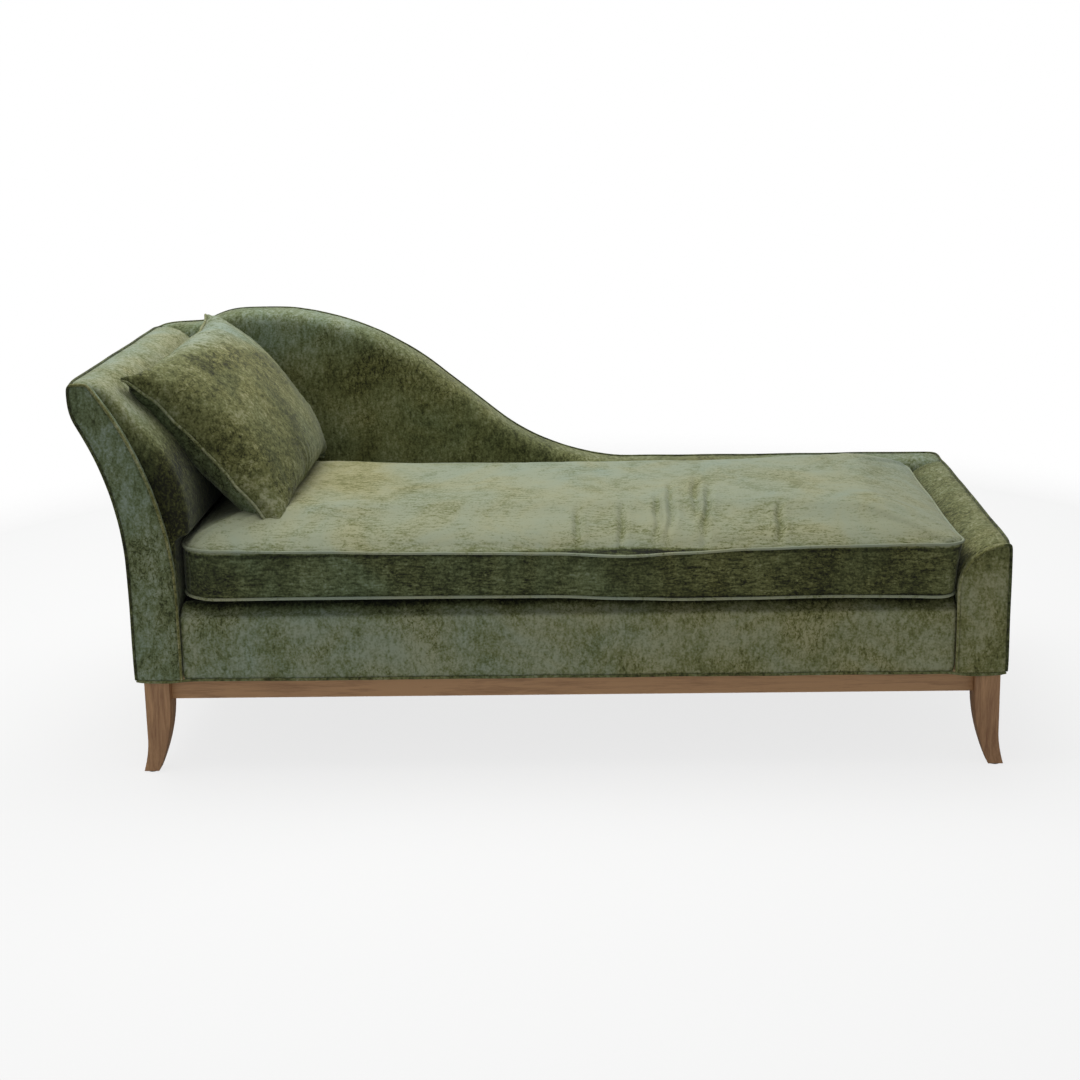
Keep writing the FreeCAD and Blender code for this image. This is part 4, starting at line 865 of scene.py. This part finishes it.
def cushion_relief(co, normal):
    """Creases across the crown, puckers in the boxing and gathers beside the seams."""
    cushion = bpy.context.scene.chaise_cushion
    along, inwards = round_plan(co)
    z = co.z / MM
    depth = 0.0
    on_boxing = min(max((z - LOW_WELT) / 12, 0), 1) * min(max((HIGH_WELT - z) / 12, 0), 1)
    if abs(normal.z) < 0.7:
        depth += boxing_fold(along, z) * cushion.pucker * 1.5 * on_boxing
    if z > HIGH_WELT:
        gathers = ribs(along, inwards, SEAM_GATHER_SPACING, 4.0)
        depth += gathers * 0.0022 * exp(-max(inwards, 0) / (SEAM_GATHER_REACH * MM))
        depth += noise.noise(co * 8) * 0.0025
        depth -= cushion.crease * crease_depth(co)
    return normal * depth


def cushion_underside(co):
    """Draws the underside up towards its edges, so that a dark gap shows below the seam."""
    under = LOW_WELT - co.z / MM
    if under <= 0:
        return Vector()
    inwards = ease(round_plan(co)[1] / MM, 0, 90)
    depth = UNDERSIDE_DROP * inwards
    return Vector((0, 0, (under - min(depth, under)) * MM))


def zip_recess(co):
    """Draws the rear boxing in along the zip, so that its teeth and slider stay clear."""
    past = co.y - ZIP_DEPTH * MM
    if past <= 0 or not ZIP_REACH[0] < co.x / MM < ZIP_REACH[1]:
        return Vector()
    share = 1 - ease(abs(co.z / MM - ZIP_LEVEL), 8, 24)
    return Vector((0, -past * share, 0))


def cushion_tone(p, normal):
    """Pale top and dark boxing, from the pile and from painted light, and a painted olive pillow
    shadow.
    """
    top = ease(p.z, HIGH_WELT - 4, HIGH_WELT + 3)
    front_band = ease(-p.y, 345, 368)
    # Painted shadow of the pillow: olive and less pale behind it
    olive = ease(-p.x, 260, 420) * ease(p.y, -240, -60)
    # The top is pale partly from painted light from above
    pale = 1.15 - 0.45 * front_band - 0.4 * olive
    cool = ease(p.y, -150, 200) * (1 - olive)
    boxing_warmth = -0.4 + 0.7 * ease(p.x, -200, 500)
    # Painted shade in the creases of the crown
    if p.z > HIGH_WELT + 3 and normal.z > 0:
        pale -= 0.7 * max(crease_depth(p * MM), 0)
    # Painted shade in the boxing's puckers, and a painted shadow just below the upper cord
    fold = 0.5 * boxing_fold(p.x * MM, p.z)
    fold -= 0.9 * ease(p.z, HIGH_WELT - 12, HIGH_WELT - 4)
    # Near black painted shade on the underside, below the lower seam
    under = ease(-p.z, -LOW_WELT + 1, -LOW_WELT + 6)
    warmth_and_painted_light = top * (0.1 - 0.5 * cool + 0.9 * olive) + (1 - top) * boxing_warmth
    return top * pale + (1 - top) * (-0.65 + fold - 2.4 * under), warmth_and_painted_light


def make_seat_cushion():
    """The boxed cushion, filled out, creased and settled as in the photograph."""
    cushion = bpy.context.scene.chaise_cushion
    skin = even_skin(joined_nodes("seat_cushion_cover"), "seat_cushion", 7, rounds=3)

    def on_seam(co):
        edge = round_plan(co)[1] < 0.03
        return edge and min(abs(co.z / MM - LOW_WELT), abs(co.z / MM - HIGH_WELT)) < 5

    skin = filled_cloth(skin, 4, cushion.swell, on_seam)
    skin = with_modifier(skin, "SUBSURF", levels=1, render_levels=1)
    moved(skin, lambda co, normal: cushion_underside(co))
    moved(skin, cushion_relief)
    moved(skin, lambda co, normal: cushion_wave(co))
    moved(skin, lambda co, normal: zip_recess(co))
    skin.shade_smooth()
    paint(skin, cushion_tone)
    piece = new_piece("seat_cushion", skin, "seat_cushion", "cushion_cloth",
                      cloth_material("cushion"), "seat_cushion_cover", "seat_cushion_core")


def make_cushion_piping():
    """Cords along the cushion's two seams."""
    x0, y0 = CUSHION[0] - CORD_OFF, CUSHION[2] - CORD_OFF
    x1, y1 = CUSHION[1] + CORD_OFF, CUSHION[3] + CORD_OFF
    radius = CUSHION_CORNER + CORD_OFF
    plan = [(x0, y0, radius), (x1, y0, radius), (x1, y1, radius), (x0, y1, radius)]
    for seam, z in (("upper", HIGH_WELT), ("lower", LOW_WELT)):
        route = [co + cushion_wave(co) for co in plan_route(plan, z, closed=True, step=9)]
        # Painted highlight: the cushion's cords are pale and a little bluish all round
        piping(f"cushion_{seam}_piping", route, ("seat_cushion",), "seat_cushion", True,
               even_tone(1.5, -0.2), f"cushion_{seam}_welt")


def make_zip():
    """A zip in the rear boxing: a woven tape with its teeth, and a slider with a pull."""
    tape = plain("Woven zip tape", "#39402f", "#4d5540", 1.2, 0.9, 0.3)
    low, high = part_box("cushion_zip")
    middle = (low + high) / 2
    size = high - low
    band = Matrix.Diagonal((size.x, size.y * 0.5, size.z, 1))
    tooth = Matrix.Diagonal((TOOTH[0] * MM, TOOTH[1] * MM, TOOTH[2] * MM, 1))
    bm = bmesh.new()
    bmesh.ops.create_cube(bm, size=1, matrix=Matrix.Translation(middle) @ band)
    for i in range(TEETH):
        x = low.x + size.x * (i + 0.5) / TEETH
        z = middle.z + (TOOTH_STAGGER if i % 2 else -TOOTH_STAGGER) * MM
        place = Matrix.Translation((x, high.y - TOOTH[1] / 2 * MM, z))
        bmesh.ops.create_cube(bm, size=1, matrix=place @ tooth)
    new_piece("zip_tape_and_teeth", mesh_from(bm, "zip_tape_and_teeth", False), "seat_cushion",
              "zip_tape", tape, "cushion_zip")
    metal = plain("Painted zinc", "#2f302c", "#3c3d38", 0.8, 0.4, 0.05, 0.6)
    bm = joined_nodes("zip_slider")
    bmesh.ops.dissolve_limit(bm, angle_limit=radians(2), verts=bm.verts, edges=bm.edges)
    bmesh.ops.bevel(bm, geom=bm.edges[:], offset=SLIDER_EDGE * MM, offset_type="OFFSET",
                    segments=3, profile=0.5, affect="EDGES", material=-1)
    new_piece("zip_pull", mesh_from(bm, "zip_pull"), "zip_slider", "zip_metal", metal,
              "zip_slider")


# Throw pillow, in its own frame: X through it, Y along its width, Z up its slope. The places
# of its corners are in metres, and its depths and gathers in millimetres

PILLOW_LEAN = radians(-40)
PILLOW_Y, PILLOW_Z = 283.6 * MM, 202.6 * MM
# How far the sides draw in between the corners, and the corners' radius
PILLOW_DRAW, PILLOW_CORNER = 12 * MM, 4 * MM
# Half of the seam's flat edge, and each side's depth past it: the solid's and the filled one's
SEAM_FLAT = 5
PILLOW_FRONT, PILLOW_BACK = (77, 92), (29, 44)
PILLOW_GATHER_SPACING, PILLOW_GATHER_REACH = 15, 40


def pillow_frame():
    """Where the pillow's own frame stands at rest."""
    low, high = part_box("pillow_welt")
    lean = Matrix.Rotation(PILLOW_LEAN, 4, "Y")
    return Matrix.Translation((low + high) / 2) @ lean


def pillow_settle():
    """How the pillow lies in the photograph against its place square to the frame."""
    pillow = bpy.context.scene.chaise_pillow
    place = pillow_frame()
    roll = Matrix.Rotation(pillow.roll, 4, "X")
    turn = Matrix.Rotation(pillow.turn, 4, "Z")
    centre = place.translation
    upright = Matrix.Translation(centre) @ turn @ Matrix.Translation(-centre)
    drop = Matrix.Translation((pillow.slide, 0, -pillow.drop))
    return drop @ upright @ place @ roll @ place.inverted()


def pillow_seam():
    """The seam through the four corners, with sides that draw in."""
    waist = PILLOW_Y - 2 * PILLOW_DRAW
    sweep = (PILLOW_Z ** 2 + PILLOW_DRAW ** 2) / (2 * PILLOW_DRAW) * 0.97
    half = [(PILLOW_Y, -PILLOW_Z, PILLOW_CORNER), (waist, 0, sweep),
            (PILLOW_Y, PILLOW_Z, PILLOW_CORNER)]
    outline = half + [(-a, b, radius) for a, b, radius in reversed(half)]
    outline = [tuple(v / MM for v in corner) for corner in outline]
    return [Vector((0, p.x, p.y)) * MM for p in rounded(outline, True, step=7)]


def stuffed(co):
    """Fills the cover out fully: steep near the seam, nearly flat in the middle."""
    crown, fat = PILLOW_FRONT if co.x > 0 else PILLOW_BACK
    swell = min(max((abs(co.x) / MM - SEAM_FLAT) / crown, 0), 1) ** 0.55
    depth = (SEAM_FLAT + fat * swell) * MM
    return Vector((depth if co.x > 0 else -depth, co.y, co.z))


def settled(co):
    """Twists the front end back and draws out the corners, as the pillow has slumped."""
    front = ease(-co.y, -PILLOW_Y, PILLOW_Y)
    corner = max(-co.y / PILLOW_Y, 0) ** 3 * max(-co.z / PILLOW_Z, 0) ** 3
    ear = 0.012 * min(abs(co.y * co.z) / (PILLOW_Y * PILLOW_Z), 1.05) ** 7
    angle = radians(4.2 * front - 3.2)
    wide = co.y + (ear if co.y > 0 else -ear)
    long = co.z + (ear if co.z > 0 else -ear) - 0.018 * corner
    return Vector((co.x * cos(angle) - long * sin(angle), wide,
                   long * cos(angle) + co.x * sin(angle)))


def pillow_gathers(p, normal):
    """Gathers along the seam and wide shallow hollows inside it."""
    side = PILLOW_Y - abs(p.y)
    end = PILLOW_Z - abs(p.z)
    off = max(min(side, end), 0)
    along = p.z if side < end else p.y + 2
    depth = ribs(along, off, PILLOW_GATHER_SPACING, 9.0)
    depth *= bpy.context.scene.chaise_pillow.gather * 1.6
    near_seam = exp(-off / (PILLOW_GATHER_REACH * MM)) * min(off / 0.008, 1)
    wide_hollow = noise.noise(p * 11 + Vector((0, 0, 6))) * 0.004
    return normal * (depth * near_seam + wide_hollow * min(off / 0.05, 1))


def pillow_tone(p, normal):
    """Painted sheen pale and bluish towards the top, olive in the middle of the front, and dark
    behind.
    """
    bloom = ease(p.z + p.y * 0.35, 95, 190) * ease(p.x, 0, 30)
    centre = exp(-((p.y + 60) / 210) ** 2 - ((p.z + 10) / 150) ** 2) * ease(p.x, 0, 30)
    back = 1 - ease(p.x, -8, 4)
    pale = -0.1 + 0.9 * bloom - 0.25 * centre - 0.35 * back
    return pale, 0.35 + 0.7 * centre - 1.2 * bloom - 1.1 * back


def make_pillow():
    """The knife-edged pillow, stuffed, slumped and leaning on the head end."""
    place = pillow_frame()
    skin = even_skin(joined_nodes("pillow_cover"), "throw_pillow", 5, rounds=2)
    skin.transform(place.inverted())
    for vertex in skin.vertices:
        if abs(vertex.co.x) > 0.006:
            vertex.co = stuffed(vertex.co)
    skin = filled_cloth(skin, 4, bpy.context.scene.chaise_pillow.swell)
    wide = max(abs(v.co.y) for v in skin.vertices)
    tall = max(abs(v.co.z) for v in skin.vertices)
    skin.transform(Matrix.Diagonal((1, PILLOW_Y * 1.01 / wide, PILLOW_Z * 1.01 / tall, 1)))
    for vertex in skin.vertices:
        vertex.co = settled(vertex.co)
    skin = with_modifier(skin, "SUBSURF", levels=1, render_levels=1)
    moved(skin, pillow_gathers)
    paint(skin, pillow_tone)
    settle = pillow_settle() @ place
    skin.transform(settle)
    skin.shade_smooth()
    piece = new_piece("throw_pillow", skin, "pillow", "pillow_cloth", cloth_material("pillow"),
                      "pillow_cover", "pillow_filling")
    seam = [settle @ settled(co) for co in pillow_seam()]
    piping("pillow_piping", seam, ("throw_pillow",), "pillow", True, even_tone(0.5, 0.2),
           "pillow_welt")


# Oak base and hidden frame

# Edges that turn more than the first are rounded off, and those below the second look smooth
SHARP_TURN = 0.6
SMOOTH_TURN = radians(35)


def make_base():
    """Rails and sabre legs with softly rounded edges."""
    edge = bpy.context.scene.chaise_wood.edge
    # The front and rear rails get a paler copy of the oak, painted light against the shade under
    # the apron
    along_x = oak("Waxed oak along", (GRAIN_LENGTH, GRAIN_WIDTH, GRAIN_WIDTH), 0.08)
    along_y = oak("Waxed oak across", (GRAIN_WIDTH, GRAIN_LENGTH, GRAIN_WIDTH))
    upright = oak("Waxed oak upright", (LEG_GRAIN_WIDTH, LEG_GRAIN_WIDTH, GRAIN_LENGTH))
    members = {
        "front_rail": along_x, "rear_rail": along_x, "head_rail": along_y, "foot_rail": along_y,
        "front_head_leg": upright, "rear_head_leg": upright, "front_foot_leg": upright,
        "rear_foot_leg": upright,
    }
    for name, material in members.items():
        bm = joined_nodes(name)
        bmesh.ops.dissolve_limit(bm, angle_limit=radians(1), verts=bm.verts, edges=bm.edges)
        sharp = [e for e in bm.edges if len(e.link_faces) == 2
                 and e.calc_face_angle() > SHARP_TURN]
        bmesh.ops.bevel(bm, geom=sharp, offset=edge, offset_type="OFFSET", segments=3,
                        profile=0.5, affect="EDGES", material=-1, clamp_overlap=True)
        data = mesh_from(bm, f"oak_{name}", False)
        data.shade_smooth()
        data.set_sharp_from_angle(angle=SMOOTH_TURN)
        new_piece(f"oak_{name}", data, "chaise", "oak", material, name)


def finish_hidden_nodes():
    """Finishes for the CAD nodes that stay: frame, springs and fixings."""
    finishes = {
        plain("Sawn beech", "#b08f62", "#cbb084", 5, 0.75, 0.3): (
            "corner_braces", "front_seat_rail", "rear_seat_rail", "head_seat_rail",
            "foot_seat_rail", "cross_rails", "corner_blocks", "head_posts", "foot_posts",
            "head_top_rail", "head_lower_rail", "foot_top_rail", "wing_panel"),
        plain("Oiled spring wire", "#33343a", "#4a4c52", 2, 0.35, 0.05, 1.0): (
            "sinuous_springs",),
        plain("Zinc plated steel", "#8e9196", "#b9bcc0", 2, 0.35, 0.05, 1.0): (
            "leg_bolts", "frame_screws", "spring_clips"),
        plain("Moulded nylon", "#151515", "#262626", 1, 0.6, 0.1): ("leg_glides",),
    }
    for material, names in finishes.items():
        for name in names:
            data = NODES[name].data
            data.materials.clear()
            data.materials.append(material)


# Stage

# The camera was fitted to the photograph's straight edges
PHOTO_SIDE = 1080
FOCAL = 1649.83
CENTRE = (576.88, 371.74)
EYE = (122.56, -3469.85, 1428.98)
PITCH, YAW, TILT = 11.26, -0.95, -0.93
SKY_COLOUR = "#f6f8fb"
# The floor in metres, where it thins out, and how clear the camera sees the rest of it
FLOOR_RADIUS, FADE_START, FADE_END = 5.5, 1.1, 2.6
FLOOR_VEIL = 0.78


def make_camera():
    """The photograph's view: a pinhole camera at its place, with its shift and turn."""
    data = bpy.data.cameras.new("Camera")
    camera = bpy.data.objects.new("Camera", data)
    scene = bpy.context.scene
    scene.collection.objects.link(camera)
    scene.camera = camera
    data.sensor_width = 36
    data.lens = FOCAL * data.sensor_width / PHOTO_SIDE
    data.shift_x = (PHOTO_SIDE / 2 - CENTRE[0]) / PHOTO_SIDE
    data.shift_y = (CENTRE[1] - PHOTO_SIDE / 2) / PHOTO_SIDE
    data.clip_end = 60
    pitch, yaw, tilt = radians(PITCH), radians(YAW), radians(TILT)
    ahead = Vector((sin(yaw) * cos(pitch), cos(yaw) * cos(pitch), -sin(pitch)))
    right = Vector((cos(yaw), -sin(yaw), 0))
    up = right.cross(ahead)
    tilted_right = right * cos(tilt) + up * sin(tilt)
    tilted_up = up * cos(tilt) - right * sin(tilt)
    turn = Matrix((tilted_right, tilted_up, -ahead)).transposed()
    camera.matrix_world = Matrix.Translation(Vector(EYE) * MM) @ turn.to_4x4()


def make_lamp(name, place, aim, size, power):
    """A rectangular softbox at a place, turned to its aim, in metres."""
    data = bpy.data.lights.new(name, "AREA")
    data.shape = "RECTANGLE"
    data.size, data.size_y = size
    data.energy = power
    lamp = bpy.data.objects.new(name, data)
    bpy.context.scene.collection.objects.link(lamp)
    lamp.location = place
    lamp.rotation_euler = (Vector(aim) - Vector(place)).to_track_quat("-Z", "Y").to_euler()


def make_world(sky):
    """Even light all round, which only shows itself as plain white."""
    world = bpy.data.worlds.new("Studio")
    bpy.context.scene.world = world
    world.use_nodes = True
    tree = world.node_tree
    tree.nodes.clear()
    even = add(tree, "Background", {"Color": hex_colour(SKY_COLOUR), "Strength": sky})
    white = add(tree, "Background", {"Color": (1, 1, 1, 1), "Strength": 1.0})
    seen, glossy, clear = (add(tree, "LightPath", out=ray) for ray in (
        "Is Camera Ray", "Is Glossy Ray", "Is Transmission Ray"))
    seen = add(tree, "Math", {0: seen, 1: glossy}, operation="ADD")
    seen = add(tree, "Math", {0: seen, 1: clear}, operation="ADD", use_clamp=True)
    mix = add(tree, "MixShader", {0: seen, 1: even, 2: white})
    add(tree, "OutputWorld", {"Surface": mix})


def make_floor(colour):
    """A round pale floor that thins out into the white behind it.

    The camera sees it as mostly clear, which lightens it and keeps the object's shadow.
    """
    bm = bmesh.new()
    bmesh.ops.create_circle(bm, cap_ends=True, segments=96, radius=FLOOR_RADIUS)
    floor = bpy.data.objects.new("Floor", mesh_from(bm, "Floor"))
    bpy.context.scene.collection.objects.link(floor)
    material, tree, place = new_material("Pale studio floor")
    away = add(tree, "VectorMath", {0: place}, "Value", operation="LENGTH")
    fade = add(tree, "MapRange", {"Value": away, "From Min": FADE_START, "From Max": FADE_END},
               interpolation_type="SMOOTHSTEP")
    matt = add(tree, "BsdfDiffuse", {"Color": list(colour)})
    clear = add(tree, "BsdfTransparent")
    seen = add(tree, "LightPath", out="Is Camera Ray")
    veil = add(tree, "Math", {0: seen, 1: FLOOR_VEIL}, operation="MULTIPLY")
    share = add(tree, "Math", {0: fade, 1: veil}, operation="MAXIMUM")
    mix = add(tree, "MixShader", {0: share, 1: matt, 2: clear})
    add(tree, "OutputMaterial", {"Surface": mix})
    floor.data.materials.append(material)


def make_stage():
    """Camera, two softboxes, even light and a pale floor."""
    scene = bpy.context.scene
    stage = scene.chaise_stage
    make_camera()
    make_lamp("Softbox above", (-0.5, 0.5, 3.1), (0.0, 0.0, 0.3), (3.2, 2.4), stage.key)
    make_lamp("Softbox in front", (-1.6, -3.4, 2.0), (0.0, 0.0, 0.4), (2.4, 1.8), stage.fill)
    make_world(stage.sky)
    make_floor(stage.floor)
    scene.view_settings.view_transform = "Standard"


# Operators


class CHAISE_OT_stage(bpy.types.Operator):
    """Camera, softboxes and pale floor"""

    bl_idname = "chaise.stage"
    bl_label = "Stage"

    def execute(self, context):
        make_stage()
        return {"FINISHED"}


class CHAISE_OT_base(bpy.types.Operator):
    """Sabre legs and rails in waxed oak"""

    bl_idname = "chaise.base"
    bl_label = "Oak base"

    def execute(self, context):
        make_base()
        return {"FINISHED"}


class CHAISE_OT_frame(bpy.types.Operator):
    """Finishes for frame, springs and fixings"""

    bl_idname = "chaise.frame"
    bl_label = "Hidden frame"

    def execute(self, context):
        finish_hidden_nodes()
        return {"FINISHED"}


class CHAISE_OT_padding(bpy.types.Operator):
    """Padded head end, wing, foot end, facings and apron"""

    bl_idname = "chaise.padding"
    bl_label = "Upholstery"

    def execute(self, context):
        make_padding()
        make_facings()
        make_apron()
        return {"FINISHED"}


class CHAISE_OT_deck(bpy.types.Operator):
    """Lining over the springs and dust cloth under the seat"""

    bl_idname = "chaise.deck"
    bl_label = "Deck"

    def execute(self, context):
        make_deck()
        return {"FINISHED"}


class CHAISE_OT_piping(bpy.types.Operator):
    """Piping on the body's edges"""

    bl_idname = "chaise.piping"
    bl_label = "Body piping"

    def execute(self, context):
        make_body_piping()
        return {"FINISHED"}


class CHAISE_OT_cushion(bpy.types.Operator):
    """Loose crowned cushion with its piping and zip"""

    bl_idname = "chaise.cushion"
    bl_label = "Seat cushion"

    def execute(self, context):
        make_seat_cushion()
        make_cushion_piping()
        make_zip()
        return {"FINISHED"}


class CHAISE_OT_pillow(bpy.types.Operator):
    """Knife-edged pillow with its piping"""

    bl_idname = "chaise.pillow"
    bl_label = "Throw pillow"

    def execute(self, context):
        make_pillow()
        return {"FINISHED"}


STEPS = (CHAISE_OT_stage, CHAISE_OT_base, CHAISE_OT_frame, CHAISE_OT_padding, CHAISE_OT_deck,
         CHAISE_OT_piping, CHAISE_OT_cushion, CHAISE_OT_pillow)


class CHAISE_PT_panel(bpy.types.Panel):
    """Lists the chaise's steps and settings"""

    bl_idname = "CHAISE_PT_panel"
    bl_label = "Chaise Longue"
    bl_space_type = "VIEW_3D"
    bl_region_type = "UI"
    bl_category = "Chaise"

    def draw(self, context):
        layout = self.layout
        for operator in STEPS:
            layout.operator(operator.bl_idname)
        for name, group in SETTINGS.items():
            box = layout.box()
            for setting in group.__annotations__:
                box.prop(getattr(context.scene, name), setting)


CLASSES = [*SETTINGS.values(), *STEPS, CHAISE_PT_panel]


def register():
    for item in CLASSES:
        bpy.utils.register_class(item)
    for name, group in SETTINGS.items():
        setattr(bpy.types.Scene, name, PointerProperty(type=group))


def unregister():
    for name in SETTINGS:
        delattr(bpy.types.Scene, name)
    for item in reversed(CLASSES):
        bpy.utils.unregister_class(item)


def main():
    register()
    for operator in STEPS:
        group, name = operator.bl_idname.split(".")
        getattr(getattr(bpy.ops, group), name)()


if __name__ == "__main__":
    main()
